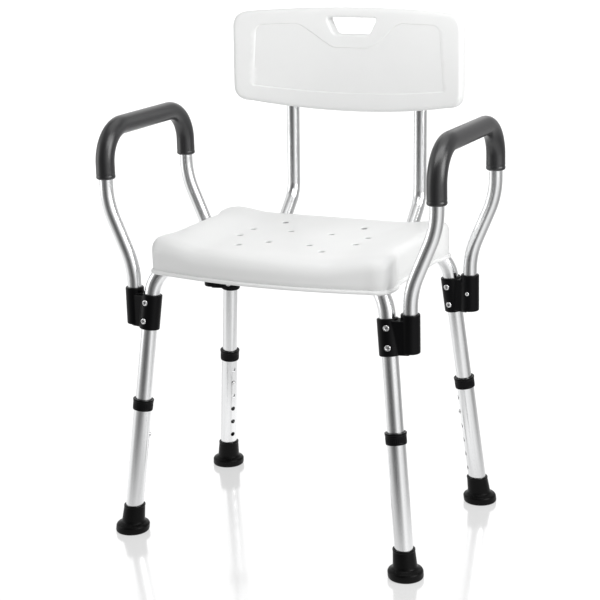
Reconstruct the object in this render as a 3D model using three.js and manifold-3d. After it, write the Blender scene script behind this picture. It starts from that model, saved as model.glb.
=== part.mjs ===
// Shower chair: height-adjustable aluminium frame, moulded seat and backrest, lift-out armrests.
// Millimetres, +Z up, the sitter looks along -Y. The origin is on the floor, in the middle of the
// chair's bounding box.
import * as THREE from 'three';
import { mergeVertices } from 'three/addons/utils/BufferGeometryUtils.js';
import Module from 'manifold-3d';

const wasm = await Module();
wasm.setup();

// ---------------------------------------------------------------- driving dimensions

// stance: where the leg axes meet the floor, and how far they lean inward per mm of height
const FOOT_X = 242;
const FOOT_Y = 167;
const SPLAY_X = 0.1;
const SPLAY_Y = 0.087;

// tubes (radii)
const UPPER_R = 12.7;
const UPPER_BORE = 11.5;
const LOWER_R = 14.3;
const LOWER_BORE = 13.3;
const ARM_R = 11.1;
const ARM_BORE = 10;
const TUBE_SIDES = 14;
const BORE_SIDES = 8;
const LOBE_SIDES = 16;
const HOLE_SIDES = 8;
const SCREW_SIDES = 6;
const BOLT_SIDES = 12;
const BEND_STEPS = 5;

// gap: clearance between neighbouring pieces; reach: how far a cutter passes the face it opens
const GAP = 0.35;
const REACH = 5;

// legs: distances along the leg axis from the floor
const LOWER_START = 12;
const LOWER_END = 221;
const UPPER_START = 128;
const HOLE_PITCH = 25.4;
const HOLE_COUNT = 6;
const TOP_HOLE = 191.2;
const HOLE_R = 4;
const COLLAR_START = 207.6;
const COLLAR_HEIGHT = 18;
const COLLAR_R = 16.4;
const COLLAR_LIP = 0.6;

// leg tubes under the seat
const CROSS_Z = 446;
const CROSS_DIP = 26;
const DIP_START = 92;
const DIP_END = 40;
const LEG_BEND = 57;
const DIP_BEND = 40;
const CROSS_HOLE_R = 3.4;

// feet
const FOOT_HEIGHT = 45;
const FOOT_FLOOR = 8;
const FOOT_PROFILE = [
  [0, 0], [26, 0], [27.5, 1.8], [27.5, 11], [25.6, 13.6], [19.4, 16.8], [18.6, 20], [17, 45],
];

// snap buttons: their V springs are seen from the side, from the button's arm to the far arm
const SPRING_STRIP = 0.7;
const SPRING_WIDTH = 7;
const SPRING_FOLD = 33;
const LEG_SNAP = { face: 9.5, tip: 17.1, farArm: 5 };
const ARM_SNAP = { face: 7.8, tip: 15.6, farArm: 4 };
const BACK_SNAP = { face: 7.8, tip: 15.5, farArm: 4 };

// clamps
const LEG_LOBE_START = 342.5;
const LEG_LOBE_HEIGHT = 57;
const LEG_LOBE_R = 16.4;
const ARM_LOBE_R = 14.8;
const ARM_LOBE_BOTTOM = 344;
const ARM_LOBE_TOP = 404;
const CLAMP_FLOOR = 5;
const CLAMP_CHAMFER = 1.2;
const CLAMP_DRAIN_R = 5;
const WEB_THICKNESS = 24;
const WEB_HEIGHT = 50;
const RIVET_STEPS = [13.5, 43.5];
const RIVET_R = 2.5;
const RIVET_HOLE_R = 3.2;
const RIVET_HEAD_R = 5;
const RIVET_SEAT = 15.2;
const RIVET_CROWN = 1.8;

// armrests
const ARM_FOOT_X = 237.4;
const ARM_TOP_X = 280;
const ARM_Y = 128;
const ARM_LOW_BEND_Z = 438;
const ARM_HIGH_BEND_Z = 537;
const ARM_TOP_Z = 655;
const ARM_S_BEND = 130;
const ARM_CORNER_BEND = 55;
const ARM_BUTTON_Z = 374;
const GRIP_R = 15.5;
const GRIP_ENDS = {
  left: { front: 576, back: 573.5 },
  right: { front: 570, back: 577 },
};

// seat
const SEAT_BOTTOM = 431;
const SEAT_HALF_WIDTH = 208;
const SEAT_FRONT = -145;
const SEAT_BACK = 145;
const SEAT_BOW = 18;
const SEAT_CORNER = 34;
const SEAT_CREST = 486;
const SEAT_CENTRE = 475;
const SEAT_UNDERSIDE = 459;
const SEAT_NOSE_BACK = -128;
const SEAT_WALL = 2.5;
const BOLT_ROOM_R = 8;
const BOLT_ROOM_TOP = 464.5;
const RIM_LIP = 3;
const RIM_HEIGHT = 5;
const SEAT_ROUND = 12;
const SIDE_SLOPE = [105, 185];
const BACK_RISE = 6;
const BACK_SLOPE = [60, 135];
const FRONT_DROP = 10;
const FRONT_SLOPE = 30;
const RECESS_DEPTH = 8;
const RECESS_END = 88;
const RECESS_EASE = 10;
const DRAIN_R = 4;
const DRAIN_HOLES = [[102, 30], [102, -18], [72, -80], [71, 86], [36, 35], [36, -47]];
const SEAT_SCREW_REACH = 165;
const SEAT_SCREW = { headHeight: 3, headR: 4.5, shankR: 2.4, holeR: 3, top: 466 };

// backrest: the local frame of the panel has its origin at the tubes' upper bend
const BACK_TUBE_X = 117;
const BACK_BEND_Y = 214;
const BACK_BEND_Z = 501;
const BACK_TUBE_BENDS = [30, 50];
const BACK_LEAN = 0.035;
const BACK_TUBE_TOP = 244;
const BACK_PANEL_FRONT = -16;
const BACK_PANEL_DEPTH = 26;
const BACK_CURVE = 0.00083;
const BACK_HALF_WIDTH = 206;
const BACK_TOP = [317, 311];
const BACK_BOTTOM = [145, 160];
const BACK_CORNER = 28;
const HAND_HOLE = { top: 301, bottom: 273, topHalf: 46, bottomHalf: 32, corner: 8 };
const BOSS_R = 15;
const BOSS_SIDES = 18;
const BOSS_BOTTOM = 158;
const BOSS_TOP = 256;
const BACK_SCREWS = [180, 228];
const BACK_SCREW_HOLE_R = 2.6;

// back tube sockets under the seat
const SOCKET_Z = 444;
const SOCKET_Y = [108, 136];
const BACK_TUBE_START = 104;
const SOCKET_BOTTOM = 430.5;
const SOCKET_HALF_WIDTH = 15;
const SOCKET_FLANGE = 22;
const FLANGE_THICKNESS = 3.4;
const SOCKET_BUTTON_Y = 122;
const SOCKET_SCREW_X = 18.4;
const SOCKET_SCREW_Y = 127;
const SOCKET_SCREW = { headHeight: 2.4, headR: 3, shankR: 1.8, holeR: 2.2, top: 467 };

const CORNERS = [
  { name: 'front_left', sx: -1, sy: -1 },
  { name: 'front_right', sx: 1, sy: -1 },
  { name: 'back_left', sx: -1, sy: 1 },
  { name: 'back_right', sx: 1, sy: 1 },
];
const [FRONT_LEFT, FRONT_RIGHT, BACK_LEFT, BACK_RIGHT] = CORNERS;
const SIDES = [
  { name: 'left', sx: -1 },
  { name: 'right', sx: 1 },
];

const COLOURS = {
  plastic: { color: 0xf4f5f5, roughness: 0.45, metalness: 0 },
  aluminium: { color: 0xc9cbcd, roughness: 0.32, metalness: 0.9 },
  black: { color: 0x1c1c1d, roughness: 0.55, metalness: 0 },
  grip: { color: 0x3b3b3d, roughness: 0.7, metalness: 0 },
  rubber: { color: 0x171718, roughness: 0.8, metalness: 0 },
  steel: { color: 0xd8d9da, roughness: 0.25, metalness: 1 },
};

// ---------------------------------------------------------------- solids

/** A closed geometry as a solid that can be cut and joined. */
function toSolid(geometry) {
  const bare = geometry.clone();
  bare.deleteAttribute('normal');
  bare.deleteAttribute('uv');
  const merged = mergeVertices(bare, 1e-4);
  const index = merged.index.array;
  const kept = [];
  for (let i = 0; i < index.length; i += 3) {
    const [a, b, c] = [index[i], index[i + 1], index[i + 2]];
    if (a !== b && b !== c && c !== a) kept.push(a, b, c);
  }
  return new wasm.Manifold(new wasm.Mesh({
    numProp: 3,
    vertProperties: new Float32Array(merged.attributes.position.array),
    triVerts: new Uint32Array(kept),
  }));
}

function toGeometry(solid) {
  const mesh = solid.getMesh();
  const geometry = new THREE.BufferGeometry();
  geometry.setAttribute('position', new THREE.BufferAttribute(mesh.vertProperties, 3));
  geometry.setIndex(new THREE.BufferAttribute(mesh.triVerts, 1));
  geometry.computeVertexNormals();
  return geometry;
}

/** The first geometry joined with the others. */
function join(first, ...others) {
  return toGeometry(others.reduce((solid, other) => solid.add(toSolid(other)), toSolid(first)));
}

/** The first geometry with the others cut out of it. */
function cut(first, ...others) {
  return toGeometry(others.reduce((solid, other) => solid.subtract(toSolid(other)), toSolid(first)));
}

function overlap(first, second) {
  return toGeometry(toSolid(first).intersect(toSolid(second)));
}

/** A body turned about Z from [radius, height] points that close on the axis or on themselves. */
function turned(points, sides) {
  const profile = points.map(([radius, height]) => new THREE.Vector2(radius, height));
  if (points[0][0] > 0) profile.push(profile[0].clone());
  const geometry = new THREE.LatheGeometry(profile, sides);
  geometry.rotateX(Math.PI / 2);
  return toGeometry(toSolid(geometry));
}

/** A plain round bar along Z, from one height to another. */
function rod(radius, from, to, sides = TUBE_SIDES) {
  return turned([[0, from], [radius, from], [radius, to], [0, to]], sides);
}

/** A round bar with chamfered ends. */
function chamferedRod(radius, from, to, chamfer, sides = TUBE_SIDES) {
  const shoulder = radius - chamfer;
  return turned([
    [0, from], [shoulder, from], [radius, from + chamfer],
    [radius, to - chamfer], [shoulder, to], [0, to],
  ], sides);
}

/** A geometry built along Z, moved so that Z runs along a direction from a point. */
function aim(geometry, point, direction) {
  const turn = new THREE.Quaternion().setFromUnitVectors(
    new THREE.Vector3(0, 0, 1),
    direction.clone().normalize(),
  );
  return geometry.applyQuaternion(turn).translate(point.x, point.y, point.z);
}

function box(width, depth, height, x, y, z) {
  return new THREE.BoxGeometry(width, depth, height).translate(x, y, z);
}

function polygon(radius, sides) {
  const points = [];
  for (let i = 0; i < sides; i += 1) {
    const angle = (i / sides) * 2 * Math.PI;
    points.push(new THREE.Vector2(radius * Math.cos(angle), radius * Math.sin(angle)));
  }
  return points;
}

// ---------------------------------------------------------------- bent tubes

/** A tube's centreline: straight runs between corner points, each corner rounded to its radius. */
class BentPath extends THREE.Curve {
  constructor(corners, radii) {
    super();
    const start = corners[0];
    this.stations = [{ point: start, tangent: corners[1].clone().sub(start).normalize() }];
    for (let i = 1; i < corners.length - 1; i += 1) {
      this.addBend(corners[i - 1], corners[i], corners[i + 1], radii[i - 1]);
    }
    const end = corners[corners.length - 1];
    const last = this.stations[this.stations.length - 1];
    this.stations.push({ point: end, tangent: last.tangent.clone() });
  }

  addBend(before, corner, after, radius) {
    const into = corner.clone().sub(before).normalize();
    const out = after.clone().sub(corner).normalize();
    const angle = into.angleTo(out);
    const reach = radius * Math.tan(angle / 2);
    const first = corner.clone().addScaledVector(into, -reach);
    const inward = out.clone().addScaledVector(into, -Math.cos(angle)).normalize();
    const steps = Math.max(2, Math.round((BEND_STEPS * angle) / (Math.PI / 2)));
    for (let i = 0; i <= steps; i += 1) {
      const turn = (angle * i) / steps;
      const point = first.clone()
        .addScaledVector(into, radius * Math.sin(turn))
        .addScaledVector(inward, radius * (1 - Math.cos(turn)));
      const tangent = into.clone().multiplyScalar(Math.cos(turn))
        .addScaledVector(inward, Math.sin(turn));
      this.stations.push({ point, tangent });
    }
  }

  get steps() {
    return this.stations.length - 1;
  }

  getSpacedPoints() {
    return this.stations.map((station) => station.point.clone());
  }

  getTangentAt(u, target = new THREE.Vector3()) {
    return target.copy(this.stations[Math.round(u * this.steps)].tangent);
  }
}

/** A round tube along a bent path; a bore of 0 makes it a bar. */
function tube(path, radius, bore, sides = TUBE_SIDES, boreSides = BORE_SIDES) {
  const section = new THREE.Shape(polygon(radius, sides));
  if (bore > 0) section.holes.push(new THREE.Path(polygon(bore, boreSides)));
  return new THREE.ExtrudeGeometry(section, {
    steps: path.steps,
    extrudePath: path,
    bevelEnabled: false,
  });
}

// ---------------------------------------------------------------- the legs' own frames

/** A corner's leg: the point on the floor, the axis, and the matrix of its frame (Z up the leg). */
function legOf({ sx, sy }) {
  const foot = new THREE.Vector3(sx * FOOT_X, sy * FOOT_Y, 0);
  const axis = new THREE.Vector3(-sx * SPLAY_X, -sy * SPLAY_Y, 1).normalize();
  const bend = foot.clone().addScaledVector(axis, CROSS_Z / axis.z);
  const inward = new THREE.Vector3(-bend.x, -bend.y, 0).normalize();
  inward.addScaledVector(axis, -inward.dot(axis)).normalize();
  const across = new THREE.Vector3().crossVectors(axis, inward);
  const matrix = new THREE.Matrix4().makeBasis(inward, across, axis).setPosition(foot);
  return { foot, axis, bend, matrix };
}

const LEGS = new Map(CORNERS.map((corner) => [corner.name, legOf(corner)]));

function alongLeg(leg, distance) {
  return leg.foot.clone().addScaledVector(leg.axis, distance);
}

/** The direction of a clamp's rivets: square to the leg and to the line from leg to arm tube. */
function rivetDirection(corner) {
  const leg = LEGS.get(corner.name);
  const middle = alongLeg(leg, LEG_LOBE_START + LEG_LOBE_HEIGHT / 2);
  const arm = new THREE.Vector3(corner.sx * ARM_FOOT_X, corner.sy * ARM_Y, middle.z);
  return new THREE.Vector3().crossVectors(arm.sub(middle), leg.axis).normalize();
}

// ---------------------------------------------------------------- leg pieces

function lowerLeg() {
  const path = new BentPath(
    [new THREE.Vector3(0, 0, LOWER_START), new THREE.Vector3(0, 0, LOWER_END)],
    [],
  );
  const holes = [];
  for (let i = 0; i < HOLE_COUNT; i += 1) {
    const hole = rod(HOLE_R, LOWER_BORE - REACH, LOWER_R + REACH, HOLE_SIDES);
    const place = new THREE.Vector3(0, 0, TOP_HOLE - i * HOLE_PITCH);
    holes.push(aim(hole, place, new THREE.Vector3(1, 0, 0)));
  }
  return cut(tube(path, LOWER_R, LOWER_BORE, TUBE_SIDES, TUBE_SIDES), ...holes);
}

function collar() {
  const lip = COLLAR_R + COLLAR_LIP;
  const top = COLLAR_START + COLLAR_HEIGHT;
  return turned([
    [LOWER_R + GAP, COLLAR_START], [COLLAR_R, COLLAR_START], [COLLAR_R, top - 4], [lip, top - 3],
    [lip, top], [UPPER_R + 0.5, top], [UPPER_R + 0.5, LOWER_END + GAP],
    [LOWER_R + GAP, LOWER_END + GAP],
  ], LOBE_SIDES);
}

/** A rubber foot: flat on the floor, its socket leaning with the leg. */
function foot({ sx, sy }) {
  const bore = LOWER_R + 0.5;
  const inside = [[bore, FOOT_HEIGHT], [bore, FOOT_FLOOR], [0, FOOT_FLOOR]];
  const geometry = turned([...FOOT_PROFILE, ...inside], LOBE_SIDES);
  const lean = new THREE.Matrix4().set(
    1, 0, -sx * SPLAY_X, 0,
    0, 1, -sy * SPLAY_Y, 0,
    0, 0, 1, 0,
    0, 0, 0, 1,
  );
  return geometry.applyMatrix4(lean);
}

/** A snap button along +X, from its strip's face to its tip, with the V spring that carries it. */
function snapButton({ face, tip, farArm }) {
  const radius = HOLE_R - GAP;
  const stem = turned([
    [0, face - 0.5], [radius, face - 0.5], [radius, tip - 1.6], [radius * 0.7, tip - 0.4], [0, tip],
  ], HOLE_SIDES);
  const near = face - SPRING_STRIP;
  const far = -farArm;
  const farInside = far + SPRING_STRIP;
  const outline = [
    [near, 7], [near, -7.7], [1, 2 - SPRING_FOLD], [farInside, -9.6], [farInside, 5],
    [far, 5], [far, -10], [1, -SPRING_FOLD], [face, -8], [face, 7],
  ];
  const shape = new THREE.Shape(outline.map(([x, y]) => new THREE.Vector2(x, y)));
  const spring = new THREE.ExtrudeGeometry(shape, { depth: SPRING_WIDTH, bevelEnabled: false });
  spring.translate(0, 0, -SPRING_WIDTH / 2).rotateX(Math.PI / 2);
  return join(aim(stem, new THREE.Vector3(0, 0, 0), new THREE.Vector3(1, 0, 0)), spring);
}

// ---------------------------------------------------------------- leg frames

/** The centreline of a U-shaped leg tube: up one leg, across under the seat, down the other. */
function legFramePath(first, second, dip) {
  const a = LEGS.get(first.name);
  const b = LEGS.get(second.name);
  const along = a.bend.clone().sub(b.bend).setZ(0).normalize();
  const corners = [alongLeg(a, UPPER_START), a.bend];
  const radii = [LEG_BEND];
  if (dip > 0) {
    const bends = [[DIP_START, 0], [DIP_END, dip], [-DIP_END, dip], [-DIP_START, 0]];
    for (const [reach, drop] of bends) {
      corners.push(along.clone().multiplyScalar(reach).setZ(CROSS_Z - drop));
      radii.push(DIP_BEND);
    }
  }
  corners.push(b.bend, alongLeg(b, UPPER_START));
  radii.push(LEG_BEND);
  return new BentPath(corners, radii);
}

function legFrame(first, second, dip) {
  const past = UPPER_R + REACH;
  const cutters = [rod(CROSS_HOLE_R, CROSS_Z - CROSS_DIP - past, CROSS_Z + past, HOLE_SIDES)];
  for (const corner of [first, second]) {
    const leg = LEGS.get(corner.name);
    const button = rod(HOLE_R, UPPER_BORE - REACH, past, HOLE_SIDES);
    button.rotateY(Math.PI / 2).translate(0, 0, TOP_HOLE - HOLE_PITCH).applyMatrix4(leg.matrix);
    cutters.push(button);
    for (const step of RIVET_STEPS) {
      const place = alongLeg(leg, LEG_LOBE_START + step);
      cutters.push(aim(rod(RIVET_HOLE_R, -past, past, SCREW_SIDES), place, rivetDirection(corner)));
    }
    const screw = seatScrewPoint(corner);
    const hole = rod(SEAT_SCREW.holeR, CROSS_Z - past, CROSS_Z + past, SCREW_SIDES);
    cutters.push(hole.translate(screw.x, screw.y, 0));
  }
  return cut(tube(legFramePath(first, second, dip), UPPER_R, UPPER_BORE), ...cutters);
}

/** Where a seat screw goes up through a leg tube, on the way from a corner to the middle. */
function seatScrewPoint(corner) {
  const { bend } = LEGS.get(corner.name);
  return new THREE.Vector3(bend.x, bend.y, 0).setLength(SEAT_SCREW_REACH);
}

/** A screw pointing up, whose head bears on a face from below. */
function panHeadScrew(face, { headHeight, headR, shankR, top }) {
  return turned([
    [0, face - headHeight], [headR * 0.8, face - headHeight], [headR, face],
    [shankR, face], [shankR, top], [0, top],
  ], SCREW_SIDES);
}

function seatScrew(corner) {
  const place = seatScrewPoint(corner);
  return panHeadScrew(CROSS_Z - UPPER_R - GAP, SEAT_SCREW).translate(place.x, place.y, 0);
}

/** The bolt where the leg tubes cross, with a flange under its head. */
function crossBolt() {
  const seat = CROSS_Z + UPPER_R + GAP;
  const bottom = CROSS_Z - CROSS_DIP - UPPER_R - 8;
  return turned([
    [0, bottom], [3, bottom], [3, seat], [6.5, seat], [6.5, seat + 1], [5, seat + 1],
    [5, seat + 4.5], [0, seat + 4.5],
  ], BOLT_SIDES);
}

/** Its flanged nut. */
function crossNut() {
  const top = CROSS_Z - CROSS_DIP - UPPER_R - GAP;
  return turned([
    [CROSS_HOLE_R, top - 6], [5.4, top - 6], [5.4, top - 1.2], [7, top - 1.2], [7, top],
    [CROSS_HOLE_R, top],
  ], BOLT_SIDES);
}

// ---------------------------------------------------------------- clamps

function clamp(corner) {
  const leg = LEGS.get(corner.name);
  const armX = corner.sx * ARM_FOOT_X;
  const armY = corner.sy * ARM_Y;
  const middle = alongLeg(leg, LEG_LOBE_START + LEG_LOBE_HEIGHT / 2);
  const lobeEnd = LEG_LOBE_START + LEG_LOBE_HEIGHT;
  const legLobe = chamferedRod(LEG_LOBE_R, LEG_LOBE_START, lobeEnd, CLAMP_CHAMFER, LOBE_SIDES);
  legLobe.applyMatrix4(leg.matrix);
  const armLobe = chamferedRod(ARM_LOBE_R, ARM_LOBE_BOTTOM, ARM_LOBE_TOP, CLAMP_CHAMFER, LOBE_SIDES);
  armLobe.translate(armX, armY, 0);
  const spanX = armX - middle.x;
  const spanY = armY - middle.y;
  const web = box(Math.hypot(spanX, spanY), WEB_THICKNESS, WEB_HEIGHT, 0, 0, 0);
  web.rotateZ(Math.atan2(spanY, spanX));
  web.translate((armX + middle.x) / 2, (armY + middle.y) / 2, middle.z);
  const legBore = rod(UPPER_R + GAP, LEG_LOBE_START - REACH, lobeEnd + REACH, LOBE_SIDES);
  const armBoreFloor = ARM_LOBE_BOTTOM + CLAMP_FLOOR;
  const armBore = rod(ARM_R + GAP, armBoreFloor, ARM_LOBE_TOP + REACH, LOBE_SIDES);
  const drain = rod(CLAMP_DRAIN_R, ARM_LOBE_BOTTOM - REACH, armBoreFloor + REACH, HOLE_SIDES);
  const cutters = [
    legBore.applyMatrix4(leg.matrix),
    armBore.translate(armX, armY, 0),
    drain.translate(armX, armY, 0),
    armButtonHole(corner),
  ];
  const direction = rivetDirection(corner);
  for (const step of RIVET_STEPS) {
    const place = alongLeg(leg, LEG_LOBE_START + step);
    const hole = rod(RIVET_HOLE_R, -RIVET_SEAT - REACH, RIVET_SEAT + REACH, SCREW_SIDES);
    cutters.push(aim(hole, place, direction));
    for (const side of [-1, 1]) {
      const pocket = rod(RIVET_HEAD_R + 0.8, RIVET_SEAT, RIVET_SEAT + REACH, HOLE_SIDES);
      cutters.push(aim(pocket, place, direction.clone().multiplyScalar(side)));
    }
  }
  return cut(join(legLobe, armLobe, web), ...cutters);
}

/** The hole through an arm tube and its clamp lobe, which faces the chair's middle along Y. */
function armButtonHole({ sx, sy }) {
  const place = new THREE.Vector3(sx * ARM_FOOT_X, sy * ARM_Y, ARM_BUTTON_Z);
  const hole = rod(HOLE_R, ARM_BORE - REACH, ARM_LOBE_R + REACH, HOLE_SIDES);
  return aim(hole, place, new THREE.Vector3(0, -sy, 0));
}

function clampRivet(corner, step) {
  const seat = RIVET_SEAT + GAP;
  const head = seat + RIVET_CROWN;
  const crownR = RIVET_HEAD_R - 1;
  const rivet = turned([
    [0, -head], [crownR, -head], [RIVET_HEAD_R, -seat], [RIVET_R, -seat],
    [RIVET_R, seat], [RIVET_HEAD_R, seat], [crownR, head], [0, head],
  ], HOLE_SIDES);
  const place = alongLeg(LEGS.get(corner.name), LEG_LOBE_START + step);
  return aim(rivet, place, rivetDirection(corner));
}

// ---------------------------------------------------------------- armrests

/** Centreline of an armrest tube: up, outward, over and down again. */
function armTubePath(sx) {
  const bottom = ARM_LOBE_BOTTOM + CLAMP_FLOOR + GAP;
  const half = [
    [ARM_FOOT_X, bottom], [ARM_FOOT_X, ARM_LOW_BEND_Z], [ARM_TOP_X, ARM_HIGH_BEND_Z],
    [ARM_TOP_X, ARM_TOP_Z],
  ];
  const front = half.map(([x, z]) => new THREE.Vector3(sx * x, -ARM_Y, z));
  const back = half.map(([x, z]) => new THREE.Vector3(sx * x, ARM_Y, z)).reverse();
  const radii = [ARM_S_BEND, ARM_S_BEND, ARM_CORNER_BEND];
  return new BentPath([...front, ...back], [...radii, ...radii.slice().reverse()]);
}

function armTube({ sx }) {
  const holes = [-1, 1].map((sy) => armButtonHole({ sx, sy }));
  return cut(tube(armTubePath(sx), ARM_R, ARM_BORE), ...holes);
}

function armGrip({ name, sx }) {
  const x = sx * ARM_TOP_X;
  const path = new BentPath([
    new THREE.Vector3(x, -ARM_Y, GRIP_ENDS[name].front),
    new THREE.Vector3(x, -ARM_Y, ARM_TOP_Z),
    new THREE.Vector3(x, ARM_Y, ARM_TOP_Z),
    new THREE.Vector3(x, ARM_Y, GRIP_ENDS[name].back),
  ], [ARM_CORNER_BEND, ARM_CORNER_BEND]);
  return tube(path, GRIP_R, ARM_R + GAP, TUBE_SIDES, TUBE_SIDES);
}

// ---------------------------------------------------------------- seat

/** The seat's outline seen from above, drawn in by an inset; its sides are waisted. */
function seatOutline(inset) {
  const x = SEAT_HALF_WIDTH - inset;
  const front = SEAT_FRONT + inset;
  const back = SEAT_BACK - inset;
  const corner = SEAT_CORNER - inset;
  const waist = x - RECESS_DEPTH;
  const widening = RECESS_END + RECESS_EASE;
  const narrow = RECESS_END - RECESS_EASE;
  const shape = new THREE.Shape();
  shape.moveTo(-x + corner, front);
  shape.quadraticCurveTo(0, front - 2 * SEAT_BOW, x - corner, front);
  shape.quadraticCurveTo(x, front, x, front + corner);
  shape.lineTo(x, -widening);
  shape.lineTo(waist, -narrow);
  shape.lineTo(waist, narrow);
  shape.lineTo(x, widening);
  shape.lineTo(x, back - corner);
  shape.quadraticCurveTo(x, back, x - corner, back);
  shape.lineTo(-x + corner, back);
  shape.quadraticCurveTo(-x, back, -x, back - corner);
  shape.lineTo(-x, widening);
  shape.lineTo(-waist, narrow);
  shape.lineTo(-waist, -narrow);
  shape.lineTo(-x, -widening);
  shape.lineTo(-x, front + corner);
  shape.quadraticCurveTo(-x, front, -x + corner, front);
  return shape;
}

function frontEdge(x) {
  return SEAT_FRONT - SEAT_BOW * (1 - (x / (SEAT_HALF_WIDTH - SEAT_CORNER)) ** 2);
}

/** Height of the seat's upper surface: a dished middle, raised sides and a rounded front edge. */
function seatTop(x, y) {
  const [sideFrom, sideTo] = SIDE_SLOPE;
  const [backFrom, backTo] = BACK_SLOPE;
  const side = (SEAT_CREST - SEAT_CENTRE) * THREE.MathUtils.smoothstep(Math.abs(x), sideFrom, sideTo);
  const back = BACK_RISE * THREE.MathUtils.smoothstep(y, backFrom, backTo);
  const distance = y - frontEdge(x) - RIM_LIP;
  const slope = THREE.MathUtils.clamp(1 - distance / FRONT_SLOPE, 0, 1);
  const round = THREE.MathUtils.clamp(1 - distance / SEAT_ROUND, 0, 1);
  const fall = FRONT_DROP * slope ** 2 + SEAT_ROUND * (1 - Math.sqrt(1 - round ** 2));
  return SEAT_CENTRE + Math.hypot(side, back) - fall;
}

function slab(shape, from, to, bevel = 0) {
  const geometry = new THREE.ExtrudeGeometry(shape, {
    depth: to - from - 2 * bevel,
    curveSegments: 6,
    bevelEnabled: bevel > 0,
    bevelThickness: bevel,
    bevelSize: bevel,
    bevelOffset: -bevel,
    bevelSegments: 3,
  });
  return geometry.translate(0, 0, from + bevel);
}

function seat() {
  const width = 2 * (SEAT_HALF_WIDTH + REACH);
  const depth = SEAT_BACK - SEAT_FRONT + 2 * (SEAT_BOW + REACH);
  const cushion = new THREE.BoxGeometry(width, 1, 1, 16, 24, 1);
  const position = cushion.attributes.position;
  for (let i = 0; i < position.count; i += 1) {
    // rows follow the front edge, and lie closer together towards it
    const x = position.getX(i);
    const front = frontEdge(x);
    const y = front + (SEAT_BACK + REACH - front) * (position.getY(i) + 0.5) ** 2;
    position.setXYZ(i, x, y, position.getZ(i) > 0 ? seatTop(x, y) : SEAT_BOTTOM);
  }
  const block = slab(
    seatOutline(RIM_LIP), SEAT_BOTTOM - 2 * SEAT_ROUND, SEAT_CREST + 2, SEAT_ROUND,
  );
  const body = overlap(block, cushion);
  const rim = slab(seatOutline(0), SEAT_BOTTOM, SEAT_BOTTOM + RIM_HEIGHT);
  const hollow = slab(seatOutline(RIM_LIP + SEAT_WALL), SEAT_BOTTOM - REACH, SEAT_UNDERSIDE);
  const behindNose = box(width, depth, 100, 0, SEAT_NOSE_BACK + depth / 2, SEAT_BOTTOM);
  const boltRoom = rod(BOLT_ROOM_R, SEAT_BOTTOM, BOLT_ROOM_TOP, BOLT_SIDES);
  const cutters = [overlap(hollow, behindNose), boltRoom];
  for (const [first, second] of [[FRONT_LEFT, BACK_RIGHT], [FRONT_RIGHT, BACK_LEFT]]) {
    cutters.push(tube(legFramePath(first, second, 0), UPPER_R + 2 * GAP, 0));
  }
  for (const [x, y] of DRAIN_HOLES) {
    for (const side of [-1, 1]) {
      const hole = rod(DRAIN_R, SEAT_BOTTOM, SEAT_CREST + REACH, HOLE_SIDES);
      cutters.push(hole.translate(side * x, y, 0));
    }
  }
  for (const corner of CORNERS) {
    const place = seatScrewPoint(corner);
    const hole = rod(SEAT_SCREW.holeR, SEAT_BOTTOM, SEAT_SCREW.top + 1, SCREW_SIDES);
    cutters.push(hole.translate(place.x, place.y, 0));
  }
  for (const { sx } of SIDES) {
    const notchR = ARM_R + 1;
    const notch = rod(notchR, SEAT_BACK - 4 * REACH, SEAT_BACK + 2 * REACH, TUBE_SIDES);
    notch.rotateX(-Math.PI / 2).translate(sx * BACK_TUBE_X, 0, SOCKET_Z);
    const height = SOCKET_Z - SEAT_BOTTOM + REACH;
    const slot = box(
      2 * notchR, 6 * REACH, height, sx * BACK_TUBE_X, SEAT_BACK - REACH, SOCKET_Z - height / 2,
    );
    cutters.push(notch, slot);
    for (const side of [-1, 1]) {
      const screw = socketScrewPoint(sx, side);
      const hole = rod(SOCKET_SCREW.holeR, SEAT_BOTTOM, SOCKET_SCREW.top + 1, SCREW_SIDES);
      cutters.push(hole.translate(screw.x, screw.y, 0));
    }
  }
  return cut(join(body, rim), ...cutters);
}

// ---------------------------------------------------------------- back tube sockets

function socketScrewPoint(sx, side) {
  return new THREE.Vector3(sx * BACK_TUBE_X + side * SOCKET_SCREW_X, SOCKET_SCREW_Y, 0);
}

function backSocket({ sx }) {
  const top = SEAT_UNDERSIDE - GAP;
  const length = SOCKET_Y[1] - SOCKET_Y[0];
  const y = (SOCKET_Y[0] + SOCKET_Y[1]) / 2;
  const x = sx * BACK_TUBE_X;
  const height = top - SOCKET_BOTTOM;
  const block = box(2 * SOCKET_HALF_WIDTH, length, height, x, y, SOCKET_BOTTOM + height / 2);
  const flange = box(2 * SOCKET_FLANGE, length, FLANGE_THICKNESS, x, y, top - FLANGE_THICKNESS / 2);
  const bore = rod(ARM_R + GAP, SOCKET_Y[0] - REACH, SOCKET_Y[1] + REACH, TUBE_SIDES);
  const cutters = [
    bore.rotateX(-Math.PI / 2).translate(x, 0, SOCKET_Z),
    rod(HOLE_R, SOCKET_BOTTOM - REACH, SOCKET_Z, HOLE_SIDES).translate(x, SOCKET_BUTTON_Y, 0),
  ];
  for (const side of [-1, 1]) {
    const place = socketScrewPoint(sx, side);
    const hole = rod(SOCKET_SCREW.holeR, SOCKET_BOTTOM, top + REACH, SCREW_SIDES);
    cutters.push(hole.translate(place.x, place.y, 0));
  }
  return cut(join(block, flange), ...cutters);
}

function socketScrew(sx, side) {
  const place = socketScrewPoint(sx, side);
  const head = SEAT_UNDERSIDE - FLANGE_THICKNESS - 2 * GAP;
  return panHeadScrew(head, SOCKET_SCREW).translate(place.x, place.y, 0);
}

// ---------------------------------------------------------------- backrest

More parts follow.
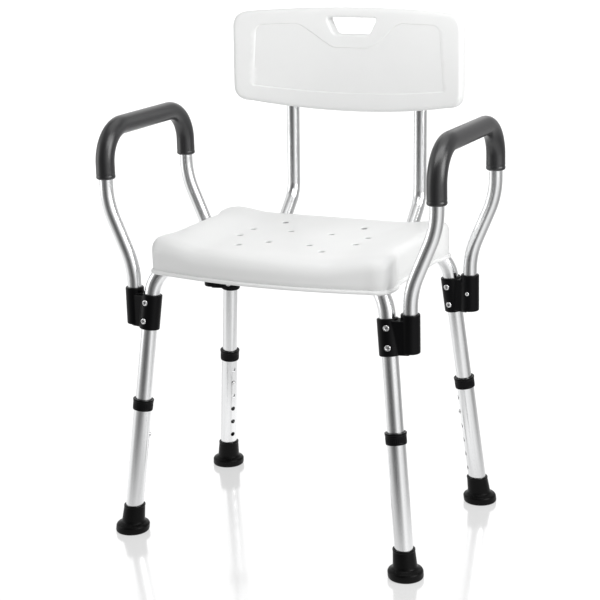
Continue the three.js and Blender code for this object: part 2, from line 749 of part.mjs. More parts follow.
function backTube({ sx }) {
  const x = sx * BACK_TUBE_X;
  const rise = BACK_BEND_Z - SOCKET_Z;
  const top = new THREE.Vector3(x, BACK_BEND_Y, BACK_BEND_Z);
  top.y += BACK_TUBE_TOP * Math.sin(BACK_LEAN);
  top.z += BACK_TUBE_TOP * Math.cos(BACK_LEAN);
  const path = new BentPath([
    new THREE.Vector3(x, BACK_TUBE_START, SOCKET_Z),
    new THREE.Vector3(x, BACK_BEND_Y - rise, SOCKET_Z),
    new THREE.Vector3(x, BACK_BEND_Y, BACK_BEND_Z),
    top,
  ], BACK_TUBE_BENDS);
  const button = rod(HOLE_R, SOCKET_Z - ARM_R - REACH, SOCKET_Z - REACH, HOLE_SIDES);
  const cutters = [button.translate(x, SOCKET_BUTTON_Y, 0)];
  for (const height of BACK_SCREWS) {
    cutters.push(toBackFrame(backScrewHole(x, height)));
  }
  return cut(tube(path, ARM_R, ARM_BORE), ...cutters);
}

/** Moves a geometry from the panel's leaning frame to the chair's. */
function toBackFrame(geometry) {
  return geometry.rotateX(-BACK_LEAN).translate(0, BACK_BEND_Y, BACK_BEND_Z);
}

function backScrewHole(x, height) {
  const hole = rod(BACK_SCREW_HOLE_R, 0, BOSS_R + REACH, SCREW_SIDES);
  return hole.rotateX(-Math.PI / 2).translate(x, 0, height);
}

function backOutline() {
  const [topMiddle, topSide] = BACK_TOP;
  const [bottomMiddle, bottomSide] = BACK_BOTTOM;
  const x = BACK_HALF_WIDTH;
  const inner = x - BACK_CORNER;
  const shape = new THREE.Shape();
  shape.moveTo(-inner, topSide);
  shape.quadraticCurveTo(0, 2 * topMiddle - topSide, inner, topSide);
  shape.quadraticCurveTo(x, topSide, x, topSide - BACK_CORNER);
  shape.lineTo(x, bottomSide + BACK_CORNER);
  shape.quadraticCurveTo(x, bottomSide, inner, bottomSide);
  shape.quadraticCurveTo(0, 2 * bottomMiddle - bottomSide, -inner, bottomSide);
  shape.quadraticCurveTo(-x, bottomSide, -x, bottomSide + BACK_CORNER);
  shape.lineTo(-x, topSide - BACK_CORNER);
  shape.quadraticCurveTo(-x, topSide, -inner, topSide);
  const { top, bottom, topHalf, bottomHalf, corner } = HAND_HOLE;
  const hole = new THREE.Path();
  hole.moveTo(-topHalf + corner, top);
  hole.quadraticCurveTo(-topHalf, top, -topHalf + 3, top - corner);
  hole.lineTo(-bottomHalf - 3, bottom + corner);
  hole.quadraticCurveTo(-bottomHalf, bottom, -bottomHalf + corner, bottom);
  hole.lineTo(bottomHalf - corner, bottom);
  hole.quadraticCurveTo(bottomHalf, bottom, bottomHalf + 3, bottom + corner);
  hole.lineTo(topHalf - 3, top - corner);
  hole.quadraticCurveTo(topHalf, top, topHalf - corner, top);
  hole.lineTo(-topHalf + corner, top);
  shape.holes.push(hole);
  return shape;
}

/** The panel: an outline cut from a slab that curves forward at its sides, with two tube bosses. */
function backrest() {
  const reach = BACK_HALF_WIDTH + 2 * REACH;
  const sweep = BACK_CURVE * reach * reach;
  const front = BACK_PANEL_FRONT;
  const rear = BACK_PANEL_FRONT + BACK_PANEL_DEPTH;
  const plan = new THREE.Shape();
  plan.moveTo(-reach, front - sweep);
  plan.quadraticCurveTo(0, front + sweep, reach, front - sweep);
  plan.lineTo(reach, rear - sweep);
  plan.quadraticCurveTo(0, rear + sweep, -reach, rear - sweep);
  const band = new THREE.ExtrudeGeometry(plan, {
    depth: BACK_TOP[0] - BACK_BOTTOM[0] + 4 * REACH,
    curveSegments: 14,
    bevelEnabled: false,
  });
  band.translate(0, 0, BACK_BOTTOM[0] - 2 * REACH);
  const outline = slab(backOutline(), -100, 100).rotateX(Math.PI / 2);
  const bosses = [];
  const cutters = [];
  for (const { sx } of SIDES) {
    const x = sx * BACK_TUBE_X;
    const boss = chamferedRod(BOSS_R, BOSS_BOTTOM, BOSS_TOP, 2, BOSS_SIDES);
    const bore = rod(ARM_R + GAP, BACK_BOTTOM[0] - REACH, BACK_TUBE_TOP + 1, BOSS_SIDES);
    bosses.push(boss.translate(x, 0, 0));
    cutters.push(bore.translate(x, 0, 0));
    for (const height of BACK_SCREWS) cutters.push(backScrewHole(x, height));
  }
  const panel = join(overlap(band, outline), ...bosses);
  return toBackFrame(cut(overlap(panel, bossLimit(front, sweep, reach)), ...cutters));
}

/** Everything behind the panel's front surface, so that the bosses don't stand out in front. */
function bossLimit(front, sweep, reach) {
  const plan = new THREE.Shape();
  plan.moveTo(-reach, front - sweep);
  plan.quadraticCurveTo(0, front + sweep, reach, front - sweep);
  plan.lineTo(reach, 60);
  plan.lineTo(-reach, 60);
  const limit = new THREE.ExtrudeGeometry(plan, {
    depth: BACK_TOP[0] + 20,
    curveSegments: 14,
    bevelEnabled: false,
  });
  return limit.translate(0, 0, 20);
}

function backScrew(sx, height) {
  const seat = BOSS_R + GAP;
  const screw = turned([
    [0, 4], [2.1, 4], [2.1, seat], [4.4, seat], [3.4, seat + 2], [0, seat + 2],
  ], HOLE_SIDES);
  return toBackFrame(screw.rotateX(-Math.PI / 2).translate(sx * BACK_TUBE_X, 0, height));
}

// ---------------------------------------------------------------- assembly

function named(name, geometry, colour) {
  const mesh = new THREE.Mesh(geometry, new THREE.MeshStandardMaterial(COLOURS[colour]));
  mesh.name = name;
  return mesh;
}

/** The pieces of one leg that are straight along it, in a group that leans with it. */
function straightLegPieces(corner) {
  const group = new THREE.Group();
  LEGS.get(corner.name).matrix.decompose(group.position, group.quaternion, group.scale);
  const button = named(`leg_button_${corner.name}`, snapButton(LEG_SNAP), 'steel');
  button.position.z = TOP_HOLE - HOLE_PITCH;
  group.add(
    named(`lower_leg_${corner.name}`, lowerLeg(), 'aluminium'),
    named(`leg_collar_${corner.name}`, collar(), 'black'),
    button,
  );
  return group;
}

/** A snap button inside an arm tube, facing the chair's middle along Y, its spring upwards. */
function armSnap(corner) {
  const button = named(`arm_button_${corner.name}`, snapButton(ARM_SNAP), 'steel');
  button.position.set(corner.sx * ARM_FOOT_X, corner.sy * ARM_Y, ARM_BUTTON_Z);
  button.rotation.set(Math.PI, 0, (-corner.sy * Math.PI) / 2, 'ZYX');
  return button;
}

/** A snap button inside the foot of a back tube, facing down, its spring towards the back. */
function backSnap({ name, sx }) {
  const button = named(`back_button_${name}`, snapButton(BACK_SNAP), 'steel');
  const down = new THREE.Vector3(0, 0, -1);
  const forward = new THREE.Vector3(0, -1, 0);
  const across = new THREE.Vector3(1, 0, 0);
  button.quaternion.setFromRotationMatrix(new THREE.Matrix4().makeBasis(down, across, forward));
  button.position.set(sx * BACK_TUBE_X, SOCKET_BUTTON_Y, SOCKET_Z);
  return button;
}

const chair = new THREE.Group();
chair.add(
  named('seat', seat(), 'plastic'),
  named('leg_frame_upper', legFrame(FRONT_LEFT, BACK_RIGHT, 0), 'aluminium'),
  named('leg_frame_lower', legFrame(FRONT_RIGHT, BACK_LEFT, CROSS_DIP), 'aluminium'),
  named('cross_bolt', crossBolt(), 'steel'),
  named('cross_nut', crossNut(), 'steel'),
  named('backrest', backrest(), 'plastic'),
);
for (const corner of CORNERS) {
  const rubber = named(`foot_${corner.name}`, foot(corner), 'rubber');
  rubber.position.copy(LEGS.get(corner.name).foot);
  chair.add(
    rubber,
    straightLegPieces(corner),
    named(`arm_clamp_${corner.name}`, clamp(corner), 'black'),
    named(`clamp_rivet_${corner.name}_lower`, clampRivet(corner, RIVET_STEPS[0]), 'steel'),
    named(`clamp_rivet_${corner.name}_upper`, clampRivet(corner, RIVET_STEPS[1]), 'steel'),
    named(`seat_screw_${corner.name}`, seatScrew(corner), 'steel'),
    armSnap(corner),
  );
}
for (const side of SIDES) {
  const { name, sx } = side;
  chair.add(
    named(`armrest_tube_${name}`, armTube(side), 'aluminium'),
    named(`armrest_grip_${name}`, armGrip(side), 'grip'),
    named(`back_tube_${name}`, backTube(side), 'aluminium'),
    named(`back_socket_${name}`, backSocket(side), 'black'),
    named(`socket_screw_${name}_a`, socketScrew(sx, -1), 'steel'),
    named(`socket_screw_${name}_b`, socketScrew(sx, 1), 'steel'),
    named(`backrest_screw_${name}_lower`, backScrew(sx, BACK_SCREWS[0]), 'steel'),
    named(`backrest_screw_${name}_upper`, backScrew(sx, BACK_SCREWS[1]), 'steel'),
    backSnap(side),
  );
}

// the origin is the middle of the bounding box in depth; in width the chair is symmetric already
const bounds = new THREE.Box3().setFromObject(chair);
chair.position.y = -(bounds.min.y + bounds.max.y) / 2;

export default chair;
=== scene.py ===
"""Looks of the shower chair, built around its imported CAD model.

Shapes are made in millimetres in the chair's design frame (+Z up, the sitter faces -Y, Y measured
from halfway between the feet). place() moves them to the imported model's frame, in metres.
"""

import math

import bmesh
import bpy
import numpy as np
from mathutils import Matrix, Vector
from mathutils.geometry import delaunay_2d_cdt


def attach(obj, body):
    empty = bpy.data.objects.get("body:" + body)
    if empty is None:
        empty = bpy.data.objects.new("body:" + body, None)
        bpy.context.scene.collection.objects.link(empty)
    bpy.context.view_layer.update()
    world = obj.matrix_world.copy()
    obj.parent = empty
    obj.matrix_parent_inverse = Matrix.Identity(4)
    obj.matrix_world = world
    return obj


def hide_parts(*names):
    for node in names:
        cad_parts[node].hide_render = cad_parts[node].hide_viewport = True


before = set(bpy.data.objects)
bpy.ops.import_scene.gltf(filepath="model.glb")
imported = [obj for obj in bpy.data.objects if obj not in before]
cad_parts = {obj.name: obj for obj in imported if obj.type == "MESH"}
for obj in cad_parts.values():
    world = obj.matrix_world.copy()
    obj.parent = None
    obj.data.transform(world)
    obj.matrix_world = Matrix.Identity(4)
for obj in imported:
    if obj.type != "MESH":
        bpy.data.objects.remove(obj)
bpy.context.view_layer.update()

CORNERS = {
    "front_left": (-1, -1),
    "front_right": (1, -1),
    "back_left": (-1, 1),
    "back_right": (1, 1),
}
SIDES = {"left": -1, "right": 1}
MIRROR_Y = Matrix.Scale(-1, 4, (0, 1, 0))
Z_TO_Y = Matrix.Rotation(-math.pi / 2, 4, "X")
Z_TO_X = Matrix.Rotation(math.pi / 2, 4, "Y")

# where the design frame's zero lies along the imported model's Y
SHIFT_Y = -22.547

# tubes
UPPER_R, UPPER_BORE = 12.7, 11.5
LOWER_R, LOWER_BORE = 14.3, 13.3
ARM_R, ARM_BORE = 11.1, 10.0
GAP = 0.35

# legs: distances along the leg axis from the floor
FOOT_X, FOOT_Y = 242, 167
SPLAY_X, SPLAY_Y = 0.1, 0.087
LOWER_START, LOWER_END, UPPER_START = 12, 221, 128
HOLE_PITCH, HOLE_COUNT, TOP_HOLE, HOLE_R = 25.4, 6, 191.2, 4
COLLAR_START, COLLAR_HEIGHT = 207.6, 18
CROSS_Z, CROSS_DIP, DIP_START, DIP_END = 446, 26, 92, 40
LEG_BEND, DIP_BEND = 57, 40
FOOT_HEIGHT, FOOT_FLOOR = 45, 8
GROOVES, GROOVE_DEPTH = (198.4, 202.4), 0.13

# clamps
LEG_LOBE_START, LEG_LOBE_HEIGHT, LEG_LOBE_R = 342.5, 57, 16.4
ARM_LOBE_R, ARM_LOBE_BOTTOM, ARM_LOBE_TOP = 14.8, 344, 404
CLAMP_FLOOR, WEB_THICKNESS = 5, 24
RIVET_STEPS = (13.5, 43.5)
RIVET_R, RIVET_HEAD_R, RIVET_SEAT = 2.5, 5, 15.2

# armrests
ARM_FOOT_X, ARM_TOP_X, ARM_Y = 237.4, 280, 128
ARM_LOW_BEND_Z, ARM_HIGH_BEND_Z, ARM_TOP_Z = 438, 537, 655
ARM_S_BEND, ARM_CORNER_BEND = 130, 55
ARM_BUTTON_Z, GRIP_R = 374, 15.5
GRIP_ENDS = {"left": (576, 573.5), "right": (570, 577)}

# seat
SEAT_BOTTOM, SEAT_UNDERSIDE, SEAT_CENTRE, SEAT_CREST = 431, 459, 475, 486
SEAT_HALF_WIDTH, SEAT_FRONT, SEAT_BACK = 208, -145, 145
SEAT_BOW, SEAT_CORNER, SEAT_NOSE_BACK = 18, 34, -128
SEAT_WALL, RIM_LIP = 2.5, 3
RECESS_DEPTH, RECESS_END, RECESS_EASE = 8, 88, 10
SEAT_ROUND, FRONT_DROP, FRONT_SLOPE, BACK_RISE = 12, 10, 30, 6
SIDE_RISE, REAR_RISE = (105, 185), (60, 135)
DRAIN_R, DISH, DISH_DEPTH, DRAIN_SIDES = 4, 2.8, 2.6, 28
SCREW_HOLE_TOP, SMALL_SCREW_R = 468, 2.2
DRAIN_HOLES = ((102, 30), (102, -18), (72, -80), (71, 86), (36, 35), (36, -47))
SEAT_SCREW_REACH = 165

# backrest: its own frame starts at the tubes' upper bend and leans back
BACK_TUBE_X, BACK_BEND_Y, BACK_BEND_Z, BACK_LEAN = 117, 214, 501, 0.035
BACK_TUBE_TOP, BACK_FRONT, BACK_DEPTH, BACK_CURVE = 244, -16, 26, 0.00083
BACK_HALF_WIDTH, BACK_TOP, BACK_BOTTOM, BACK_CORNER = 206, (317, 311), (145, 160), 28
HAND_TOP, HAND_BOTTOM, HAND_TOP_HALF, HAND_BOTTOM_HALF, HAND_CORNER = 301, 273, 46, 32, 8
BOSS_R, BOSS_BOTTOM, BOSS_TOP, BACK_SCREWS = 15, 158, 256, (180, 228)

# sockets of the back tubes
SOCKET_Z, SOCKET_Y, BACK_TUBE_START, SOCKET_BOTTOM = 444, (108, 136), 104, 430.5
SOCKET_HALF_WIDTH, SOCKET_FLANGE, FLANGE_THICKNESS, SOCKET_BUTTON_Y = 15, 22, 3.4, 122


# ---- plain geometry: (points, faces)


def flipped(faces):
    return [tuple(reversed(f)) for f in faces]


def between(low, high):
    """Four-sided faces between two rings of point numbers."""
    count = len(low)
    pairs = [(k, (k + 1) % count) for k in range(count)]
    return [(low[k], low[n], high[n], high[k]) for k, n in pairs]


def wall(low, high, count):
    """Four-sided faces between two rings of points, each ring given by its first number."""
    return between(range(low, low + count), range(high, high + count))


def moved(geo, matrix):
    """The same shape after a matrix; a mirroring one turns its faces round."""
    points, faces = geo
    turned = flipped(faces) if matrix.determinant() < 0 else list(faces)
    return [matrix @ p for p in points], turned


def shifted(geo, x, y=0, z=0):
    return moved(geo, Matrix.Translation((x, y, z)))


def merged(*geos):
    points, faces = [], []
    for some, their in geos:
        start = len(points)
        points.extend(some)
        faces.extend(tuple(i + start for i in f) for f in their)
    return points, faces


def rounded(profile, radius, closed=False, steps=4):
    """A 2D outline with its corners turned into short arcs. A point may carry its own radius."""
    result = []
    count = len(profile)
    for i, corner in enumerate(profile):
        own = corner[2] if len(corner) > 2 else radius
        here = Vector(corner[:2])
        if own <= 0 or (not closed and i in (0, count - 1)):
            result.append(tuple(here))
            continue
        before = Vector(profile[i - 1][:2]) - here
        after = Vector(profile[(i + 1) % count][:2]) - here
        reach = min(own, before.length * 0.48, after.length * 0.48)
        first, last = here + before.normalized() * reach, here + after.normalized() * reach
        for k in range(steps + 1):
            t = k / steps
            result.append(tuple(first * (1 - t) ** 2 + here * 2 * t * (1 - t) + last * t * t))
    return result


def circle(x, y, radius, count):
    turns = [2 * math.pi * k / count for k in range(count)]
    return [(x + radius * math.cos(a), y + radius * math.sin(a)) for a in turns]


def lathe(profile, sides=48, ripple=None):
    """A body turned about Z from (radius, height) points, run upwards on the outside."""
    points, faces, rings = [], [], []
    for radius, height in profile:
        if radius < 1e-6:
            rings.append([len(points)] * sides)
            points.append(Vector((0, 0, height)))
            continue
        rings.append(list(range(len(points), len(points) + sides)))
        for k in range(sides):
            a = 2 * math.pi * k / sides
            r = radius + (ripple(radius, height, a) if ripple else 0)
            points.append(Vector((r * math.cos(a), r * math.sin(a), height)))
    on_axis = profile[0][0] < 1e-6 and profile[-1][0] < 1e-6
    for i in range(len(rings) - 1 if on_axis else len(rings)):
        quads = between(rings[i], rings[(i + 1) % len(rings)])
        without_doubles = [tuple(dict.fromkeys(quad)) for quad in quads]
        faces += [face for face in without_doubles if len(face) > 2]
    return points, faces


def rod(radius, low, high, sides=24):
    return lathe([(0, low), (radius, low), (radius, high), (0, high)], sides)


def block(size, centre, radius, ease=0.0):
    """A block with rounded upright corners and, with an ease, softened top and bottom edges."""
    x, y, z = (s / 2 for s in size)
    flat = [(-x, -y), (x, -y), (x, y), (-x, y)]
    if not ease:
        return shifted(prism(rounded(flat, radius, True), -z, z), *centre)
    levels = [(-z, ease), (-z + ease * 0.3, ease * 0.3), (-z + ease, 0)]
    levels += [(-h, by) for h, by in reversed(levels)]
    loops = []
    for height, by in levels:
        shrunk = [(px * (x - by) / x, py * (y - by) / y) for px, py in flat]
        loops.append([Vector((*p, height)) for p in rounded(shrunk, radius, True)])
    return shifted(skin(loops), *centre)


def skin(loops):
    """Closed loops of equal length joined one to the next, bottom first, seen anticlockwise."""
    count = len(loops[0])
    points = [p for loop in loops for p in loop]
    last = len(points) - count
    faces = [tuple(reversed(range(count)))]
    for start in range(0, last, count):
        faces += wall(start, start + count, count)
    return points, faces + [tuple(range(last, len(points)))]


def prism(outline, low, high):
    """An outline in XY, anticlockwise, carried up from one height to another."""
    return skin([[Vector((x, y, z)) for x, y in outline] for z in (low, high)])


def aimed(geo, point, direction):
    """A shape made along Z, moved so that Z runs from a point along a direction."""
    turn = Vector((0, 0, 1)).rotation_difference(Vector(direction)).to_matrix().to_4x4()
    return moved(geo, Matrix.Translation(point) @ turn)


# ---- bent tubes


def on_bend(start, into, inward, radius, turn):
    """The point reached from the start of a bend after a turn."""
    return start + into * radius * math.sin(turn) + inward * radius * (1 - math.cos(turn))


class Path:
    """A centreline of straight runs between corner points, each corner rounded to its radius."""

    def __init__(self, corners, radii=()):
        self.parts = []
        corners = [Vector(corner) for corner in corners]
        start = corners[0]
        for radius, before, corner, after in zip(radii, corners, corners[1:], corners[2:]):
            into, out = (corner - before).normalized(), (after - corner).normalized()
            angle = into.angle(out)
            first = corner - into * radius * math.tan(angle / 2)
            inward = (out - into * math.cos(angle)).normalized()
            self.parts.append(((first - start).length, start, into, None, 0, 0))
            self.parts.append((radius * angle, first, into, inward, radius, angle))
            start = on_bend(first, into, inward, radius, angle)
        rest = corners[-1] - start
        self.parts.append((rest.length, start, rest.normalized(), None, 0, 0))
        self.length = sum(part[0] for part in self.parts)

    def at(self, s):
        """The point and the direction at a distance along the path."""
        for length, start, into, inward, radius, _ in self.parts:
            if s <= length + 1e-6:
                break
            s -= length
        if inward is None:
            return start + into * s, into.copy()
        turn = s / radius
        along = into * math.cos(turn) + inward * math.sin(turn)
        return on_bend(start, into, inward, radius, turn), along

    def marks(self, step_mm, step_deg, extra=()):
        """Distances to put rings at: close together in the bends."""
        found = [0.0]
        for length, _, _, inward, _, angle in self.parts:
            if length < 1e-6:
                continue
            bend = math.degrees(angle) / step_deg if inward is not None else length / step_mm
            steps = max(1, math.ceil(bend))
            begin = found[-1]
            found += [begin + length * (k + 1) / steps for k in range(steps)]
        wanted = [x if x >= 0 else self.length + x for x in extra]
        kept = [x for x in found if all(abs(x - e) > 0.05 for e in wanted)]
        return sorted(kept + wanted)

    def frames(self, marks):
        """Point, direction and a side vector that doesn't twist, at each distance."""
        rows, side, last = [], None, None
        for s in marks:
            point, along = self.at(s)
            if side is None:
                side = along.orthogonal().normalized()
            else:
                side = last.rotation_difference(along) @ side
            side = (side - along * side.dot(along)).normalized()
            rows.append((point, along, side))
            last = along
        return rows


def ring_at(row, radius, sides):
    """Points round one row of a path's frames."""
    point, along, side = row
    across = along.cross(side)
    turns = [2 * math.pi * k / sides for k in range(sides)]
    return [point + side * radius * math.cos(a) + across * radius * math.sin(a) for a in turns]


def tube(path, outer, inner, marks, sides=56):
    """A tube along a path. outer gives its outer radius at a distance along the path."""
    rows = path.frames(marks)
    points = [p for s, row in zip(marks, rows) for p in ring_at(row, outer(s), sides)]
    total = len(points)
    points += [p for row in rows for p in ring_at(row, inner, sides)]
    faces = flipped(wall(0, total, sides)) + wall(total - sides, 2 * total - sides, sides)
    for start in range(0, total - sides, sides):
        faces += wall(start, start + sides, sides)
        faces += flipped(wall(total + start, total + start + sides, sides))
    return points, faces


def bar(path, radius, sides):
    """A solid round bar along a path."""
    return skin([ring_at(row, radius, sides) for row in path.frames(path.marks(60, 6))])


def eased(radius, length, ease=0.5):
    """An outer radius that draws in a little at both ends of a tube."""

    def at(s):
        near = min(s, length - s)
        return radius - ease + min(near, ease)

    return at


# ---- sheets cut from a plane


def distance_to(loop, points):
    """The distance from each 2D point to a closed 2D loop."""
    a = np.array(loop, float)
    b = np.roll(a, -1, axis=0)
    span = b - a
    square = np.maximum((span**2).sum(1), 1e-12)
    found = np.empty(len(points))
    for start in range(0, len(points), 2000):
        p = points[start : start + 2000, None, :]
        t = np.clip(((p - a) * span).sum(2) / square, 0, 1)
        found[start : start + 2000] = np.sqrt(((p - a - t[..., None] * span) ** 2).sum(2).min(1))
    return found


def inside(loop, points):
    """Whether each 2D point lies inside a closed 2D loop."""
    a = np.array(loop, float)
    b = np.roll(a, -1, axis=0)
    x, y = points[:, 0, None], points[:, 1, None]
    crosses = (a[:, 1] > y) != (b[:, 1] > y)
    drop = np.where(b[:, 1] == a[:, 1], 1e-12, b[:, 1] - a[:, 1])
    at = a[:, 0] + (y - a[:, 1]) * (b[:, 0] - a[:, 0]) / drop
    return (crosses & (x < at)).sum(1) % 2 == 1


def inset(loop, by):
    """An anticlockwise loop drawn in along its own normals."""
    a = np.array(loop, float)
    along = np.roll(a, -1, axis=0) - np.roll(a, 1, axis=0)
    along /= np.linalg.norm(along, axis=1)[:, None]
    return a + by * np.stack([-along[:, 1], along[:, 0]], 1)


def resampled(loop, spacing):
    """A closed loop with points at nearly equal distances, its own corners kept."""
    result = []
    count = len(loop)
    for i in range(count):
        a, b = np.array(loop[i], float), np.array(loop[(i + 1) % count], float)
        steps = max(1, int(round(np.linalg.norm(b - a) / spacing)))
        result += [tuple(a + (b - a) * k / steps) for k in range(steps)]
    return result


def staggered_grid(low, high, spacing):
    gx, gy = np.meshgrid(np.arange(low[0], high[0], spacing), np.arange(low[1], high[1], spacing))
    gx[1::2] += spacing / 2
    return np.stack([gx.ravel(), gy.ravel()], 1)


def sheet(edge, holes, lines, spacing):
    """Triangles that fill a loop round some holes, along given lines. Returns the flat points,
    the triangles, and the point numbers of the edge and of each hole in order."""
    loops = [np.array(loop, float) for loop in (edge, *holes, *lines)]
    rims = loops[: 1 + len(holes)]

    def within(points):
        in_a_hole = np.any([inside(rim, points) for rim in rims[1:]], axis=0)
        return inside(rims[0], points) & ~in_a_hole

    grid = staggered_grid(rims[0].min(0), rims[0].max(0), spacing)
    grid = grid[within(grid)]
    near = np.min([distance_to(loop, grid) for loop in loops], axis=0)
    everything = np.concatenate([*loops, grid[near > spacing * 0.45]])
    edges, numbers = [], []
    for loop in loops:
        numbers.append(range(len(edges), len(edges) + len(loop)))
        edges += [(numbers[-1][k - 1], numbers[-1][k]) for k in range(len(loop))]
    made = delaunay_2d_cdt([Vector(p) for p in everything], edges, [], 0, 1e-5, True)
    flat, triangles, sources = np.array([tuple(p) for p in made[0]]), made[2], made[3]
    place_of = {old: new for new, olds in enumerate(sources) for old in olds}
    keep = within(np.array([flat[list(f)].mean(0) for f in triangles]))
    faces = []
    for f in [tuple(f) for f, kept in zip(triangles, keep) if kept]:
        (ax, ay), (bx, by), (cx, cy) = flat[list(f)]
        area = (bx - ax) * (cy - ay) - (cx - ax) * (by - ay)
        faces.append(f if area > 0 else tuple(reversed(f)))
    return flat, faces, [[place_of[old] for old in numbers[i]] for i in range(len(rims))]


def fillet(distance, radius):
    """How far a rounded edge falls at a distance in from it."""
    reach = np.clip(radius - distance, 0, radius)
    return radius - np.sqrt(radius**2 - reach**2)


def step(x, low, high):
    t = np.clip((x - low) / (high - low), 0, 1)
    return t * t * (3 - 2 * t)


# ---- Blender objects


def new_object(name, geo):
    mesh = bpy.data.meshes.new(name)
    mesh.from_pydata([tuple(p) for p in geo[0]], [], geo[1])
    mesh.validate()
    obj = bpy.data.objects.new(name, mesh)
    bpy.context.scene.collection.objects.link(obj)
    return obj


def settle(obj):
    """Turns an object's modifiers into its mesh."""
    graph = bpy.context.evaluated_depsgraph_get()
    mesh = bpy.data.meshes.new_from_object(obj.evaluated_get(graph))
    old = obj.data
    obj.modifiers.clear()
    obj.data = mesh
    bpy.data.meshes.remove(old)
    mesh.name = obj.name


def cut(obj, *cutters, operation="DIFFERENCE"):
    """Cuts shapes that don't touch each other out of an object, in one go."""
    tool = new_object("tool", merged(*cutters))
    modifier = obj.modifiers.new("cut", "BOOLEAN")
    modifier.operation = operation
    modifier.solver = "EXACT"
    modifier.object = tool
    settle(obj)
    bpy.data.meshes.remove(tool.data)


def soften(obj, width):
    """Small rounded edges wherever two faces meet sharply."""
    modifier = obj.modifiers.new("soften", "BEVEL")
    modifier.width = width
    modifier.segments = 2
    modifier.limit_method = "ANGLE"
    modifier.angle_limit = math.radians(50)
    modifier.use_clamp_overlap = True
    settle(obj)


def weld(obj, reach, turned=False):
    """Joins points that lie together and, if asked, turns the faces outwards."""
    bm = bmesh.new()
    bm.from_mesh(obj.data)
    bmesh.ops.remove_doubles(bm, verts=bm.verts, dist=reach)
    bmesh.ops.dissolve_degenerate(bm, edges=bm.edges, dist=reach)
    if turned:
        bmesh.ops.recalc_face_normals(bm, faces=bm.faces)
    bm.to_mesh(obj.data)
    bm.free()


def shade(obj, angle):
    """Smooth shading that breaks at edges sharper than an angle."""
    weld(obj, 1e-4)
    bm = bmesh.new()
    bm.from_mesh(obj.data)
    for face in bm.faces:
        face.smooth = True
    limit = math.radians(angle)
    for edge in bm.edges:
        edge.smooth = len(edge.link_faces) == 2 and edge.calc_face_angle(0) < limit
    bm.to_mesh(obj.data)
    bm.free()


def piece(name, geo, angle, *cutters):
    """A shape as an object, with its holes cut and its edges shaded."""
    obj = new_object(name, geo)
    if cutters:
        cut(obj, *cutters)
    shade(obj, angle)
    return obj


def straighten(obj, path):
    """Gives a tube exact round normals, and each point its place on the straightened tube, which
    the drawn lines of the metal follow."""
    marks = path.marks(step_mm=15, step_deg=3.5)
    rows = path.frames(marks)
    a, _, side = (np.array([tuple(v) for v in column]) for column in zip(*rows))
    span = a[1:] - a[:-1]
    square = (span**2).sum(1)
    mesh = obj.data
    co = np.array([tuple(v.co) for v in mesh.vertices])
    radial = np.empty_like(co)
    run = np.empty((len(co), 3))
    for i, p in enumerate(co):
        t = np.clip(((p - a[:-1]) * span).sum(1) / square, 0, 1)
        off = p - a[:-1] - t[:, None] * span
        k = int((off**2).sum(1).argmin())
        along = span[k] / math.sqrt(square[k])
        out = off[k] - along * off[k].dot(along)
        size = np.linalg.norm(out) or 1.0
        radial[i] = out / size
        around = math.atan2(radial[i].dot(np.cross(along, side[k])), radial[i].dot(side[k]))
        s = marks[k] + t[k] * math.sqrt(square[k])
        run[i] = (size * math.cos(around), size * math.sin(around), s)
    bm = bmesh.new()
    bm.from_mesh(mesh)
    bm.normal_update()
    normals = []
    for face in bm.faces:
        face.smooth = True
        for loop in face.loops:
            out = Vector(radial[loop.vert.index])
            turn = face.normal.dot(out)
            round_face = abs(turn) > 0.93
            normals.append(out * math.copysign(1, turn) if round_face else face.normal.copy())
    bm.to_mesh(mesh)
    bm.free()
    mesh.normals_split_custom_set([tuple(n) for n in normals])
    attribute = mesh.attributes.new("run", "FLOAT_VECTOR", "POINT")
    attribute.data.foreach_set("vector", (run * 0.001).ravel())


def metal_tube(name, path, radius, bore, holes, step_deg=3.5):
    """A plain bent tube with eased ends and drilled holes."""
    marks = path.marks(40, step_deg, [0.5, -0.5])
    obj = new_object(name, tube(path, eased(radius, path.length), bore, marks))
    cut(obj, *holes)
    straighten(obj, path)
    return obj


def place(obj, node, body, finish):
    """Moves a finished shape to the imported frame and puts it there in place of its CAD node."""
    slot, material = finish
    to_frame = Matrix.Scale(0.001, 4) @ Matrix.Translation((0, SHIFT_Y, 0))
    obj.data.transform(to_frame)
    obj.name = node + "_look"
    obj.data.name = obj.name
    obj.data.materials.clear()
    obj.data.materials.append(material)
    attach(obj, body)
    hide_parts(node)


def copy_of(obj, matrix):
    """A copy of a shape that isn't placed yet, moved or mirrored."""
    mesh = obj.data.copy()
    mesh.transform(matrix)
    if matrix.determinant() < 0:
        mesh.flip_normals()
    twin = bpy.data.objects.new(obj.name, mesh)
    bpy.context.scene.collection.objects.link(twin)
    return twin


# ---- materials


def connect(tree, node, sockets):
    """Sets a node's inputs to values, or links them to other nodes' outputs."""
    for name, value in sockets.items():
        if isinstance(value, bpy.types.NodeSocket):
            tree.links.new(value, node.inputs[name])
        else:
            node.inputs[name].default_value = value


def add_node(tree, kind, output, sockets=None, **settings):
    """Adds a shader node and returns one of its outputs."""
    node = tree.nodes.new("ShaderNode" + kind)
    for name, value in settings.items():
        setattr(node, name, value)
    connect(tree, node, sockets or {})
    return node.outputs[output]


def mix_of(tree, factor, first, second):
    sockets = {"Factor": factor, "A": first, "B": second}
    return add_node(tree, "Mix", "Result", sockets, data_type="RGBA")


